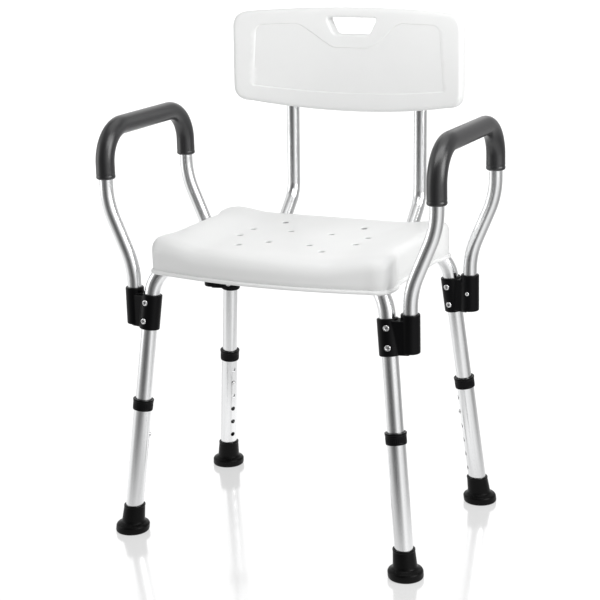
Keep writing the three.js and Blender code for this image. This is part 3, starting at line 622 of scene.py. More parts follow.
def finish_of(name, colour, darker, rough, grain, bump, bump_height=0.0001, metallic=0,
              drift_scale=9, along_tube=False, painted_shade=None, sockets=None):
    """A procedural surface: colour that drifts a little, roughness that varies, a fine grain, and
    painted shade where the mesh marks points with its shade attribute.
    """
    material = bpy.data.materials.new(name)
    material.use_nodes = True
    tree = material.node_tree
    shader = tree.nodes["Principled BSDF"]
    if along_tube:
        where = add_node(tree, "Attribute", "Vector", attribute_name="run")
    else:
        where = add_node(tree, "TexCoord", "Object")
    stretch = (1, 1, 0.035) if along_tube else (1, 1, 1)
    stretched = add_node(tree, "Mapping", "Vector", {"Scale": stretch, "Vector": where})

    def noise(scale, detail):
        sockets = {"Scale": scale, "Detail": detail, "Vector": stretched}
        return add_node(tree, "TexNoise", "Fac", sockets)

    def spread(value, low, high):
        sockets = {"From Min": 0.3, "From Max": 0.7, "To Min": low, "To Max": high, "Value": value}
        return add_node(tree, "MapRange", "Result", sockets)

    drift = spread(noise(drift_scale, 3), 0, 1)
    base = mix_of(tree, drift, (*darker, 1), (*colour, 1))
    # painted shade: points marked by the mesh's shade attribute are mixed towards a darker colour
    # that stands in for shade in recesses
    if painted_shade:
        painted_shade_mark = add_node(tree, "Attribute", "Fac", attribute_name="shade")
        base = mix_of(tree, painted_shade_mark, base, (*painted_shade, 1))
    fine = noise(grain, 4)
    relief = {"Strength": bump, "Distance": bump_height, "Height": fine}
    connect(tree, shader, {
        "Metallic": metallic, "Base Color": base, "Roughness": spread(fine, *rough),
        "Normal": add_node(tree, "Bump", "Normal", relief), **(sockets or {}),
    })
    return material


# each surface: its slot and its material
# the white plastic's 0.36 grey is painted shade, used on the seat's drain holes
PLASTIC = "seat_plastic", finish_of(
    "white_polyethylene", (0.86, 0.865, 0.86), (0.835, 0.84, 0.835), (0.34, 0.46), 1400, 0.12,
    0.00012, painted_shade=(0.36, 0.36, 0.36), sockets={"Specular IOR Level": 0.45},
)
METAL = "tube_aluminium", finish_of(
    "anodised_aluminium", (0.89, 0.895, 0.9), (0.82, 0.825, 0.83), (0.19, 0.28), 1500, 0.08,
    0.00004, metallic=1, drift_scale=260, along_tube=True,
)
BLACK = "black_plastic", finish_of(
    "black_nylon", (0.004, 0.004, 0.0045), (0.0025, 0.0025, 0.003), (0.27, 0.38), 1800, 0.2,
    0.00008, sockets={"Specular IOR Level": 0.1},
)
RUBBER = "foot_rubber", finish_of(
    "foot_rubber", (0.003, 0.003, 0.003), (0.002, 0.002, 0.002), (0.3, 0.42), 1200, 0.25,
    sockets={"Specular IOR Level": 0.11},
)
FOAM = "grip_foam", finish_of(
    "grip_foam", (0.015, 0.015, 0.0165), (0.011, 0.011, 0.012), (0.27, 0.36), 2200, 0.3, 0.00008,
    sockets={"Specular IOR Level": 0.75},
)
STEEL = "fastener_steel", finish_of(
    "zinc_steel", (0.8, 0.8, 0.8), (0.68, 0.68, 0.69), (0.16, 0.3), 1600, 0.1, 0.00004, metallic=1,
    drift_scale=300,
)


# ---- legs


def leg_of(sx, sy):
    """A leg's foot point, axis, top corner point and own frame, with Z up the leg."""
    foot = Vector((sx * FOOT_X, sy * FOOT_Y, 0))
    axis = Vector((-sx * SPLAY_X, -sy * SPLAY_Y, 1)).normalized()
    bend = foot + axis * (CROSS_Z / axis.z)
    inward = Vector((-bend.x, -bend.y, 0)).normalized()
    inward = (inward - axis * inward.dot(axis)).normalized()
    across = axis.cross(inward)
    matrix = Matrix((inward, across, axis)).transposed().to_4x4()
    return foot, axis, bend, Matrix.Translation(foot) @ matrix


LEGS = {name: leg_of(*signs) for name, signs in CORNERS.items()}
TO_BUTTON = Matrix.Translation((0, 0, TOP_HOLE - HOLE_PITCH))


def along_leg(name, distance):
    foot, axis, _, _ = LEGS[name]
    return foot + axis * distance


def rivet_direction(name):
    """Square to the leg and to the line from the leg to the arm tube."""
    sx, sy = CORNERS[name]
    middle = along_leg(name, LEG_LOBE_START + LEG_LOBE_HEIGHT / 2)
    arm = Vector((sx * ARM_FOOT_X, sy * ARM_Y, middle.z))
    return (arm - middle).cross(LEGS[name][1]).normalized()


def lower_leg_shape():
    """The lower tube with its row of height holes and two rolled grooves under the collar."""
    path = Path([(0, 0, LOWER_START), (0, 0, LOWER_END)])
    holes = [TOP_HOLE - i * HOLE_PITCH for i in range(HOLE_COUNT)]
    extra = [0, 0.5, -0.5, -0.0001]
    for at in GROOVES:
        extra += [at - LOWER_START + d for d in (-1.6, -0.9, -0.45, 0, 0.45, 0.9, 1.6)]
    for at in holes:
        extra += [at - LOWER_START - 6, at - LOWER_START + 6]
    ends = eased(LOWER_R, path.length)

    def outer(s):
        near = min(abs(s + LOWER_START - at) for at in GROOVES)
        return ends(s) - GROOVE_DEPTH * math.exp(-((near / 0.45) ** 2))

    marks = [s for s in path.marks(30, 4, extra) if s <= path.length]
    obj = new_object("lower_leg", tube(path, outer, LOWER_BORE, marks, 64))
    drill = rod(HOLE_R, LOWER_BORE - 3, LOWER_R + 2, 32)
    cut(obj, *[aimed(drill, (0, 0, at), (1, 0, 0)) for at in holes])
    straighten(obj, path)
    return obj


def collar_shape():
    """The sleeve at a lower leg's mouth: a ribbed band under a flared lip."""
    top = COLLAR_START + COLLAR_HEIGHT
    start, mouth, inner = COLLAR_START, LOWER_END + GAP, UPPER_R + 0.5
    corners = [
        (LOWER_R + GAP, start, 0.2), (16, start, 0.5), (16.4, start + 2.4, 0.5),
        (16, start + 3.4, 0.3), (16, top - 6.6, 0.3), (16.5, top - 5.8, 0.4),
        (16.5, top - 4.4, 0.4), (16.2, top - 3.9, 0.3), (17, top - 2.8, 0.6), (17, top, 0.7),
        (inner, top, 0.4), (inner, mouth, 0), (LOWER_R + GAP, mouth, 0),
    ]
    low, high = start + 3.6, top - 6.8

    def ribs(radius, height, angle):
        if radius < 15.5 or not low - 0.01 < height < high + 0.01:
            return 0.0
        return 0.34 * max(0.0, math.cos(36 * angle)) ** 0.5

    # the ribbed band's upright gets points where the ribs start and stop
    profile = []
    outline = rounded(corners, 0.3, closed=True)
    for (r, z), (r2, z2) in zip(outline, outline[1:] + outline[:1]):
        profile.append((r, z))
        if min(r, r2) > 15.9 and z2 > z + 2:
            stops = [h for h in (low, low + 0.6, high - 0.6, high) if z + 0.05 < h < z2 - 0.05]
            profile += [(r + (r2 - r) * (h - z) / (z2 - z), h) for h in stops]
    return piece("collar", lathe(profile, 288, ribs), 40)


def foot_shape(sx, sy):
    """A rubber foot: a leaning socket with a lip, a shoulder, and a stepped flange with a tread."""
    bore = LOWER_R + 0.5
    profile = [
        (0, 1.2, 0), (6, 1.2, 0.4), (6.6, 0, 0.4), (10, 0, 0.4), (10.6, 1.2, 0.4), (12.4, 1.2, 0.4),
        (13, 0, 0.4), (16.4, 0, 0.4), (17, 1.2, 0.4), (18.8, 1.2, 0.4), (19.4, 0, 0.4),
        (25.6, 0, 0.8), (27.1, 1.5, 0.6), (27.5, 3, 0.6), (27.5, 10.6, 0.9), (26.8, 12, 0.5),
        (25.7, 13.4, 0.5), (21, 15.4, 1.2), (19.3, 17.2, 1.2), (18.7, 20, 1.5), (17.3, 40.6, 1.0),
        (17.1, 41.6, 0.4), (17.6, 42.6, 0.5), (17.5, FOOT_HEIGHT, 0.8), (bore, FOOT_HEIGHT, 0.5),
        (bore, FOOT_FLOOR, 0.5), (0, FOOT_FLOOR, 0),
    ]
    lean = Matrix.Identity(4)
    lean[0][2], lean[1][2] = -sx * SPLAY_X, -sy * SPLAY_Y
    at = Matrix.Translation((sx * FOOT_X, sy * FOOT_Y, 0))
    return piece("foot", moved(lathe(rounded(profile, 0.3), 72), at @ lean), 38)


def snap_button(face, tip, far_arm):
    """A domed snap button along +X, riveted to the V spring of flat strip that carries it."""
    radius = HOLE_R - GAP
    dome = [(0, face - 0.9), (radius * 0.8, face - 0.9), (radius, face - 0.4)]
    crown = 2.4
    for k in range(8):
        a = math.pi / 2 * k / 8
        dome.append((radius * math.cos(a), tip - crown + crown * math.sin(a)))
    stem = aimed(lathe([*dome, (0, tip)], 32), (0, 0, 0), (1, 0, 0))
    strip, far = 0.7, -far_arm
    outline = [
        (face, 7), (face - strip, 7), (face - strip, -7.7), (1, -31, 1.5), (far + strip, -9.6),
        (far + strip, 5), (far, 5), (far, -10), (1, -33, 3), (face, -8, 2),
    ]
    spring = moved(prism(rounded(outline, 0.25, True), -3.5, 3.5), Z_TO_Y.inverted())
    obj = new_object("button", merged(stem, spring))
    weld(obj, 1e-6, turned=True)
    soften(obj, 0.2)
    shade(obj, 40)
    return obj


def leg_frame_path(first, second, dip):
    a, b = LEGS[first][2], LEGS[second][2]
    run = Vector((a.x - b.x, a.y - b.y, 0)).normalized()
    corners, radii = [along_leg(first, UPPER_START), a], [LEG_BEND]
    if dip:
        for reach, drop in ((DIP_START, 0), (DIP_END, dip), (-DIP_END, dip), (-DIP_START, 0)):
            point = run * reach
            corners.append(Vector((point.x, point.y, CROSS_Z - drop)))
            radii.append(DIP_BEND)
    corners += [b, along_leg(second, UPPER_START)]
    return Path(corners, radii + [LEG_BEND])


def seat_screw_point(name):
    bend = LEGS[name][2]
    return Vector((bend.x, bend.y, 0)).normalized() * SEAT_SCREW_REACH


def leg_frame_shape(first, second, dip):
    holes = [rod(3.4, CROSS_Z - CROSS_DIP - 20, CROSS_Z + 20)]
    for name in (first, second):
        button = moved(rod(HOLE_R, UPPER_BORE - 3, UPPER_R + 2), Z_TO_X)
        holes.append(moved(button, LEGS[name][3] @ TO_BUTTON))
        for height in RIVET_STEPS:
            at = along_leg(name, LEG_LOBE_START + height)
            holes.append(aimed(rod(RIVET_R + 2 * GAP, -20, 20), at, rivet_direction(name)))
        holes.append(shifted(rod(3, CROSS_Z - 20, CROSS_Z + 20), *seat_screw_point(name)))
    return metal_tube("leg_frame", leg_frame_path(first, second, dip), UPPER_R, UPPER_BORE, holes)


# ---- fasteners


def hexagon(across, low, high, chamfer=0.8):
    """A hexagonal head or nut, its corners turned down at both faces."""
    reach = across / math.sqrt(3)
    obj = new_object("hex", prism(circle(0, 0, reach, 6), low, high))
    ball = [(0, low), (across / 2, low), (reach, low + chamfer), (reach, high - chamfer),
            (across / 2, high), (0, high)]
    cut(obj, lathe(ball, 48), operation="INTERSECT")
    points = [v.co.copy() for v in obj.data.vertices]
    faces = [tuple(p.vertices) for p in obj.data.polygons]
    bpy.data.objects.remove(obj)
    return points, faces


def threaded(radius, low, high, pitch=1.25):
    """A bolt's shank with rounded rings at the pitch of its thread."""
    profile = [(0, low), (radius - 0.9, low), (radius - 0.4, low + 0.5)]
    height = low + 1
    while height < high - pitch:
        profile += [(radius - 0.35, height), (radius, height + pitch / 2)]
        height += pitch
    profile += [(radius, high), (0, high)]
    return lathe(profile, 40)


def cross_recess(arm, deep, face):
    """The cutter of a screw's cross recess, from outside a head's face down to its deep end."""
    half = arm * 0.22
    corner = [(half, -arm), (half, -half), (arm, -half)]
    outline = [(x * c - y * s, x * s + y * c) for c, s in ((1, 0), (0, 1), (-1, 0), (0, -1))
               for x, y in corner]
    mouth = [Vector((x, y, face)) for x, y in outline]
    end = [Vector((x * 0.72, y * 0.72, deep)) for x, y in outline]
    return skin([mouth, end] if deep > face else [end, mouth])


def pan_head(head_z, head_height, head_r, shank_r, shank_top):
    """A pan-head screw that points up, its cross recess below."""
    low = head_z - head_height
    profile = [(0, low), (head_r * 0.55, low, 0), (head_r * 0.86, low + head_height * 0.22, 0.9),
               (head_r, low + head_height * 0.75, 0.6), (head_r, head_z, 0.2), (shank_r, head_z, 0)]
    height = head_z + 1
    while height < shank_top - 2.5:
        profile += [(shank_r * 0.84, height, 0), (shank_r, height + 0.9, 0)]
        height += 1.8
    profile += [(shank_r * 0.8, shank_top - 1.6, 0.2), (0, shank_top)]
    recess = cross_recess(head_r * 0.56, low + head_height * 0.62, low - 1)
    return piece("screw", lathe(rounded(profile, 0.3), 40), 40, recess)


def rivet_shape(name, height):
    """A tubular rivet: two rolled heads, each with a hollow middle."""
    seat = RIVET_SEAT + GAP
    top = seat + 1.8
    half = [
        (0, top - 6.5, 0), (1.9, top - 6.5, 0.2), (2.05, top - 0.8, 0.4), (2.8, top, 0.5),
        (4.1, top - 0.05, 0.8), (RIVET_HEAD_R, seat + 0.4, 0.6), (RIVET_HEAD_R - 0.3, seat, 0.2),
        (RIVET_R, seat, 0.2),
    ]
    lower = [(r, -z, w) for r, z, w in half]
    profile = rounded(lower + list(reversed(half)), 0.3)
    at = along_leg(name, LEG_LOBE_START + height)
    return piece("rivet", aimed(lathe(profile, 40), at, rivet_direction(name)), 40)


# ---- clamps


def clamp_body(name, arm_x, arm_y):
    """Two round lobes and the web between them, melted together."""
    lobe_end = LEG_LOBE_START + LEG_LOBE_HEIGHT
    middle = along_leg(name, (LEG_LOBE_START + lobe_end) / 2)

    def lobe(radius, low, high):
        profile = [(0, low), (radius, low, 1.6), (radius, high, 1.6), (0, high)]
        return lathe(rounded(profile, 0, steps=5), 72)

    leg_lobe = moved(lobe(LEG_LOBE_R, LEG_LOBE_START, lobe_end), LEGS[name][3])
    arm_lobe = shifted(lobe(ARM_LOBE_R, ARM_LOBE_BOTTOM, ARM_LOBE_TOP), arm_x, arm_y)
    span = Vector((arm_x - middle.x, arm_y - middle.y, 0))
    turn = Matrix.Rotation(math.atan2(span.y, span.x), 4, "Z")
    half = Matrix.Translation(((arm_x + middle.x) / 2, (arm_y + middle.y) / 2, middle.z + 0.4))
    web = moved(block((span.length, WEB_THICKNESS, 53), (0, 0, 0), 1.5, 1.5), half @ turn)
    obj = new_object("clamp", merged(leg_lobe, arm_lobe, web))
    melt = obj.modifiers.new("melt", "REMESH")
    melt.mode = "VOXEL"
    melt.voxel_size = 0.85
    even = obj.modifiers.new("even", "SMOOTH")
    even.factor = 0.5
    even.iterations = 4
    settle(obj)
    return obj


def clamp_shape(name):
    """A clamp: a through bore for the leg, a blind one for the arm tube, and smaller holes."""
    sx, sy = CORNERS[name]
    arm_x, arm_y = sx * ARM_FOOT_X, sy * ARM_Y
    obj = clamp_body(name, arm_x, arm_y)
    leg_bore = rod(UPPER_R + GAP, LEG_LOBE_START - 5, LEG_LOBE_START + LEG_LOBE_HEIGHT + 5, 64)
    arm_bore = rod(ARM_R + GAP, ARM_LOBE_BOTTOM + CLAMP_FLOOR, ARM_LOBE_TOP + 5, 64)
    cut(obj, moved(leg_bore, LEGS[name][3]), shifted(arm_bore, arm_x, arm_y))
    drain = rod(5, ARM_LOBE_BOTTOM - 5, ARM_LOBE_BOTTOM + 10, 32)
    cutters = [shifted(drain, arm_x, arm_y), arm_button_hole(arm_x, sy)]
    for height in RIVET_STEPS:
        at = along_leg(name, LEG_LOBE_START + height)
        cutters.append(aimed(rivet_cutter(), at, rivet_direction(name)))
    cut(obj, *cutters)
    shade(obj, 38)
    return obj


def arm_button_hole(x, sy):
    hole = rod(HOLE_R, ARM_BORE - 3, ARM_LOBE_R + 4, 32)
    return aimed(hole, (x, sy * ARM_Y, ARM_BUTTON_Z), (0, -sy, 0))


def rivet_cutter():
    """A rivet's hole with the shallow flat pocket round each of its heads."""
    pocket, hole, seat = RIVET_HEAD_R + 0.9, RIVET_R + 2 * GAP, RIVET_SEAT
    upper = [(hole, seat), (pocket, seat), (pocket, seat + 8), (0, seat + 8)]
    return lathe([(r, -z) for r, z in reversed(upper)] + upper, 32)


# ---- armrests


def arm_path(half, ends, radii):
    """A path over an armrest from one half's corner points; its ends may differ in height."""
    front = [Vector((x, -ARM_Y, z)) for x, z in half]
    back = [Vector((x, ARM_Y, z)) for x, z in reversed(half)]
    front[0].z, back[-1].z = ends
    return Path(front + back, radii + radii[::-1])


def arm_tube_shape(sx):
    bottom = ARM_LOBE_BOTTOM + CLAMP_FLOOR + GAP
    half = [
        (sx * ARM_FOOT_X, bottom), (sx * ARM_FOOT_X, ARM_LOW_BEND_Z),
        (sx * ARM_TOP_X, ARM_HIGH_BEND_Z), (sx * ARM_TOP_X, ARM_TOP_Z),
    ]
    path = arm_path(half, (bottom, bottom), [ARM_S_BEND, ARM_S_BEND, ARM_CORNER_BEND])
    holes = [arm_button_hole(sx * ARM_FOOT_X, sy) for sy in (-1, 1)]
    return metal_tube("arm_tube", path, ARM_R, ARM_BORE, holes)


def grip_shape(name):
    """A grip sleeve: rounded ends with a soft collar line, slightly fuller along the top."""
    x = SIDES[name] * ARM_TOP_X
    path = arm_path([(x, 0), (x, ARM_TOP_Z)], GRIP_ENDS[name], [ARM_CORNER_BEND])
    length = path.length
    ends = [0, 0.15, 0.5, 1, 1.8, 2.8, 4, 5, 6, 7, 8, 9.5, 12, 18]

    def outer(s):
        near = min(s, length - s)
        ring = 0.45 * math.exp(-(((near - 7.0) / 1.1) ** 2))
        return GRIP_R - 0.35 - float(fillet(near, 3.6)) - ring + 0.35 * float(step(near, 14, 3))

    marks = path.marks(12, 4, ends + [-e for e in ends[1:]])
    if marks[-1] < length - 1e-6:
        marks.append(length)
    return piece("grip", tube(path, outer, ARM_R + GAP, marks), 50)


# ---- seat


def curve(points, steps=10):
    """A quadratic curve through a control point, without its last point."""
    a, b, c = (np.array(p, float) for p in points)
    rows = []
    for k in range(steps):
        t = k / steps
        rows.append(tuple(a * (1 - t) ** 2 + b * 2 * t * (1 - t) + c * t * t))
    return rows


def mirrored(outline):
    """The left half of an outline from its right half, in the same sense of turn."""
    return [(-x, y) for x, y in reversed(outline)]


def seat_outline(by):
    """The seat's outline seen from above, anticlockwise, drawn in by a distance."""
    x, front, back = SEAT_HALF_WIDTH - by, SEAT_FRONT + by, SEAT_BACK - by
    corner, waist = SEAT_CORNER - by, SEAT_HALF_WIDTH - by - RECESS_DEPTH
    widening, narrow = RECESS_END + RECESS_EASE, RECESS_END - RECESS_EASE
    side = rounded([
        (x, front + corner), (x, -widening, 10), (waist, -narrow, 14),
        (waist, narrow, 14), (x, widening, 14), (x, back - corner),
    ], 5, steps=6)
    bow = curve([(corner - x, front), (0, front - 2 * SEAT_BOW), (x - corner, front)], 48)
    right = curve([(x - corner, front), (x, front), (x, front + corner)], 12) + side[:-1]
    right += curve([(x, back - corner), (x, back), (x - corner, back)], 12)
    right += [(x - corner, back)]
    return bow + right + mirrored(right[1:])


def seat_top(points):
    x, y = np.abs(points[:, 0]), points[:, 1]
    side = (SEAT_CREST - SEAT_CENTRE) * step(x, *SIDE_RISE)
    back = BACK_RISE * step(y, *REAR_RISE)
    edge = SEAT_FRONT - SEAT_BOW * (1 - (x / (SEAT_HALF_WIDTH - SEAT_CORNER)) ** 2)
    slope = np.clip(1 - (y - edge - RIM_LIP) / FRONT_SLOPE, 0, 1)
    return SEAT_CENTRE + np.hypot(side, back) - FRONT_DROP * slope ** 2


DRAINS = [(side * x, y) for x, y in DRAIN_HOLES for side in (-1, 1)]


def seat_surface(outline, rims):
    """The top: rounded at its edge, and dished round each drain hole."""
    flare = [circle(x, y, DRAIN_R + d, DRAIN_SIDES) for x, y in DRAINS for d in (0.7, 1.6, DISH)]
    rings = [inset(outline, d) for d in (0.5, 1.6, 3.2, 5.4, 8.2, SEAT_ROUND)]
    flat, faces, loops = sheet(outline, rims, rings + flare, 7)
    near = np.min([np.hypot(*(flat - hole).T) for hole in DRAINS], axis=0) - DRAIN_R
    height = seat_top(flat) - fillet(distance_to(outline, flat), SEAT_ROUND)
    height -= DISH_DEPTH * np.clip(1 - near / DISH, 0, 1) ** 1.4
    return [Vector((*p, z)) for p, z in zip(flat, height)], faces, loops


def seat_skirt(outline, tops):
    """Rings down the wall, over the rim lip, and in under it to the hollow's edge."""
    hollow = SEAT_UNDERSIDE - SEAT_BOTTOM
    # how far in and how high each ring lies
    lip = [
        (0, 8.2), (0.5, 7.3), (0.8, 6.3), (0.5, 5.5), (-0.4, 5), (-1.5, 4.7), (-2.35, 4.1),
        (-2.85, 3.2), (-3, 2.2), (-2.9, 1.1), (-2.5, 0.3), (-2, 0), (SEAT_WALL - 0.5, 0),
        (SEAT_WALL, 0.5), (SEAT_WALL, hollow - 3), (SEAT_WALL + 0.9, hollow - 0.9),
    ]
    lip_top = SEAT_BOTTOM + lip[0][1]
    rings = []
    for part in (0.33, 0.66):
        rings.append([Vector((*p, z - (z - lip_top) * part)) for p, z in zip(outline, tops)])
    for by, z in lip:
        ring = inset(outline, by)
        if by >= SEAT_WALL - 0.5:
            ring[:, 1] = np.maximum(ring[:, 1], SEAT_NOSE_BACK)
        rings.append([Vector((*p, SEAT_BOTTOM + z)) for p in ring])
    return rings


def seat_shape():
    outline = resampled(seat_outline(RIM_LIP), 5.5)
    rims = [circle(x, y, DRAIN_R, DRAIN_SIDES) for x, y in DRAINS]
    points, faces, (last, *top_rims) = seat_surface(outline, rims)
    for ring in seat_skirt(outline, [points[number].z for number in last]):
        low = list(range(len(points), len(points) + len(ring)))
        points += ring
        faces += between(low, last)
        last = low
    # the underside, with the same drain holes
    edge = inset(outline, SEAT_WALL + 3)
    edge[:, 1] = np.maximum(edge[:, 1], SEAT_NOSE_BACK)
    under, under_faces, under_loops = sheet(without_repeats(edge), rims, [], 24)
    start = len(points)
    below = [Vector((*p, SEAT_UNDERSIDE)) for p in under]
    points, faces = merged((points, faces), (below, flipped(under_faces)))
    low_edge, *low_rims = [[start + i for i in loop] for loop in under_loops]
    faces += bridge(points, last, low_edge)
    for top_rim, low_rim in zip(top_rims, low_rims):
        faces += flipped(between(low_rim, top_rim))
    obj = new_object("seat", (points, faces))
    weld(obj, 1e-3, turned=True)
    cut_seat(obj)
    shade(obj, 32)
    # painted shade: points on the drain holes' walls and just round their mouths are marked, so the
    # plastic colours them a darker grey in place of the shade inside the holes
    marks = obj.data.attributes.new("shade", "FLOAT", "POINT")
    for vertex, painted_shade_mark in zip(obj.data.vertices, marks.data):
        gap = min(math.dist(vertex.co[:2], hole) for hole in DRAINS)
        painted_shade_mark.value = 1.0 if gap < DRAIN_R + 0.9 else 0.0
    return obj


def without_repeats(loop):
    kept = [tuple(loop[0])]
    for p in loop[1:]:
        if math.dist(p, kept[-1]) > 0.4:
            kept.append(tuple(p))
    if math.dist(kept[0], kept[-1]) < 0.4:
        kept.pop()
    return kept


def bridge(points, upper, lower):
    """Triangles between two rings that may differ in their number of points."""
    faces = []
    a = b = 0
    na, nb = len(upper), len(lower)
    shift = min(range(nb), key=lambda j: (points[lower[j]] - points[upper[0]]).length)
    lower = lower[shift:] + lower[:shift]
    while a < na or b < nb:
        here_a, here_b = upper[a % na], lower[b % nb]
        next_a, next_b = upper[(a + 1) % na], lower[(b + 1) % nb]
        gain_a = (points[next_a] - points[here_b]).length if a < na else 1e9
        gain_b = (points[next_b] - points[here_a]).length if b < nb else 1e9
        if gain_a <= gain_b:
            if next_a != here_a:
                faces.append((next_a, here_a, here_b))
            a += 1
        else:
            faces.append((here_a, here_b, next_b))
            b += 1
    return faces


def cut_seat(obj):
    """Under the seat: ribbed pockets, room for the leg tubes, screw holes, back tube notches."""
    pitch_x, pitch_y, rib, clear = 40, 39, 5, 26
    screws = [seat_screw_point(name) for name in CORNERS]
    pockets = []
    for column in range(-4, 5):
        for row in range(-2, 3):
            x, y = column * pitch_x, row * pitch_y
            by_screw = any(abs(x - at.x) < clear and abs(y - at.y) < clear for at in screws)
            if not by_screw and (x or y):
                size = (pitch_x - rib, pitch_y - rib, 8)
                pockets.append(block(size, (x, y, SEAT_UNDERSIDE + 2), 3))
    cut(obj, *pockets)
    for first, second in (("front_left", "back_right"), ("front_right", "back_left")):
        cut(obj, bar(leg_frame_path(first, second, 0), UPPER_R + 2 * GAP, 40))
    holes = [rod(8, SEAT_BOTTOM - 9, SEAT_UNDERSIDE + 5.5, 32)]
    holes += [shifted(rod(3, SEAT_BOTTOM - 9, SCREW_HOLE_TOP - 1), *at) for at in screws]
    width = ARM_R + 1
    arch = [(-width, -26), (width, -26)] + circle(0, 0, width, 32)[:17]
    notch = prism(arch, SEAT_BACK - 20, SEAT_BACK + 10)
    small = rod(SMALL_SCREW_R, SEAT_BOTTOM - 9, SCREW_HOLE_TOP)
    for sx in SIDES.values():
        x = sx * BACK_TUBE_X
        turn = Matrix(((1, 0, 0, x), (0, 0, 1, 0), (0, 1, 0, SOCKET_Z), (0, 0, 0, 1)))
        holes.append(moved(notch, turn))
        holes += [shifted(small, *socket_screw_point(sx, side)) for side in (-1, 1)]
    cut(obj, *holes)


# ---- backrest


TO_BACK = Matrix.Translation((0, BACK_BEND_Y, BACK_BEND_Z)) @ Matrix.Rotation(-BACK_LEAN, 4, "X")


def back_outline():
    """The panel's outline seen from the front (x to the right, z up), anticlockwise."""
    top_middle, top_side = BACK_TOP
    low_middle, low_side = BACK_BOTTOM
    x, c = BACK_HALF_WIDTH, BACK_CORNER
    inner = x - c
    low = curve([(-inner, low_side), (0, 2 * low_middle - low_side), (inner, low_side)], 60)
    top = curve([(inner, top_side), (0, 2 * top_middle - top_side), (-inner, top_side)], 60)
    right = curve([(inner, low_side), (x, low_side), (x, low_side + c)], 12)
    right += [(x, low_side + c)]
    right += curve([(x, top_side - c), (x, top_side), (inner, top_side)], 12)
    return low + right + top + mirrored(right[1:] + [(inner, top_side)])


def hand_hole():
    """The hand hole: wider at the top, its sides sloping, its corners round."""
    corners = [
        (-HAND_BOTTOM_HALF, HAND_BOTTOM), (HAND_BOTTOM_HALF, HAND_BOTTOM),
        (HAND_TOP_HALF, HAND_TOP), (-HAND_TOP_HALF, HAND_TOP),
    ]
    return rounded(corners, HAND_CORNER, True, 8)


def relief_line():
    """The outline of the panel's sunken field: it runs under the hand hole between two slopes."""
    low = curve([(-174, 186), (0, 164), (174, 186)], 30)
    corners = [(174, 190, 10), (164, 293, 14), (86, 294, 10), (34, 252, 10), (-34, 252, 10),
               (-94, 292, 10), (-168, 289, 14), (-174, 190, 10)]
    top = rounded([(174, 186, 0)] + corners[1:-1] + [(-174, 186, 0)], 10, steps=6)
    return low + top[:-1]


def back_panel():
    """The curved panel with its hand hole and sunken field."""
    edge = resampled(back_outline(), 5)
    hole = resampled(hand_hole(), 4)
    field = resampled(relief_line(), 4)
    depth = 1.3
    edge_r, hole_r = 7.0, 4.0
    steps = (0.06, 0.2, 0.42, 0.7, 1.0)
    lines = [inset(edge, edge_r * f) for f in steps] + [inset(hole, -hole_r * f) for f in steps]

    def face(lines, spacing, back):
        """The front or, plain, the rear face: its points, triangles and the rings of its edges."""
        flat, faces, loops = sheet(edge, [hole], lines, spacing)
        y = BACK_FRONT - BACK_CURVE * flat[:, 0] ** 2 + back
        fall = fillet(distance_to(edge, flat), edge_r) + fillet(distance_to(hole, flat), hole_r)
        if back:
            y -= fall
        else:
            sunk = np.where(inside(field, flat), step(distance_to(field, flat), 0, 1.6), 0)
            y += fall + depth * sunk
        return [Vector((px, py, pz)) for (px, pz), py in zip(flat, y)], faces, loops

    points, faces, loops = face(lines + [field, inset(field, 1.6)], 7, 0)
    rear, rear_faces, rear_loops = face(lines, 9, BACK_DEPTH)
    start = len(points)
    points, faces = merged((points, faces), (rear, flipped(rear_faces)))
    for front_ring, rear_ring in zip(loops, rear_loops):
        faces += between([start + k for k in rear_ring], front_ring)
    obj = new_object("back", (points, faces))
    weld(obj, 1e-3, turned=True)
    return obj


def back_shape():
    """The panel with the two bosses that take the back tubes and their screws."""
    obj = back_panel()
    profile = [(0, BOSS_BOTTOM), (BOSS_R, BOSS_BOTTOM, 2.5), (BOSS_R, BOSS_TOP, 6), (0, BOSS_TOP)]
    boss = lathe(rounded(profile, 0, steps=5), 56)
    bore = rod(ARM_R + GAP, BACK_BOTTOM[0] - 15, BACK_TUBE_TOP + 1, 56)
    screw = moved(rod(2.6, 5, BOSS_R + 5), Z_TO_Y)
    places = [sx * BACK_TUBE_X for sx in SIDES.values()]
    cut(obj, *[shifted(boss, x) for x in places], operation="UNION")
    cut(obj, *[shifted(bore, x) for x in places])
    cut(obj, *[shifted(screw, x, 0, height) for x in places for height in BACK_SCREWS])
    obj.data.transform(TO_BACK)
    shade(obj, 32)
    return obj


def back_tube_shape(sx):
    x = sx * BACK_TUBE_X
    rise = BACK_BEND_Z - SOCKET_Z
    top = TO_BACK @ Vector((x, 0, BACK_TUBE_TOP))
    corners = [(x, BACK_TUBE_START, SOCKET_Z), (x, BACK_BEND_Y - rise, SOCKET_Z),
               (x, BACK_BEND_Y, BACK_BEND_Z), top]
    screw = moved(rod(2.6, -2, BOSS_R + 5), Z_TO_Y)
    holes = [moved(shifted(screw, x, 0, height), TO_BACK) for height in BACK_SCREWS]
    holes.append(shifted(rod(HOLE_R, SOCKET_Z - ARM_R - 5, SOCKET_Z - 5, 32), x, SOCKET_BUTTON_Y))
    return metal_tube("back_tube", Path(corners, [30, 50]), ARM_R, ARM_BORE, holes, 3)


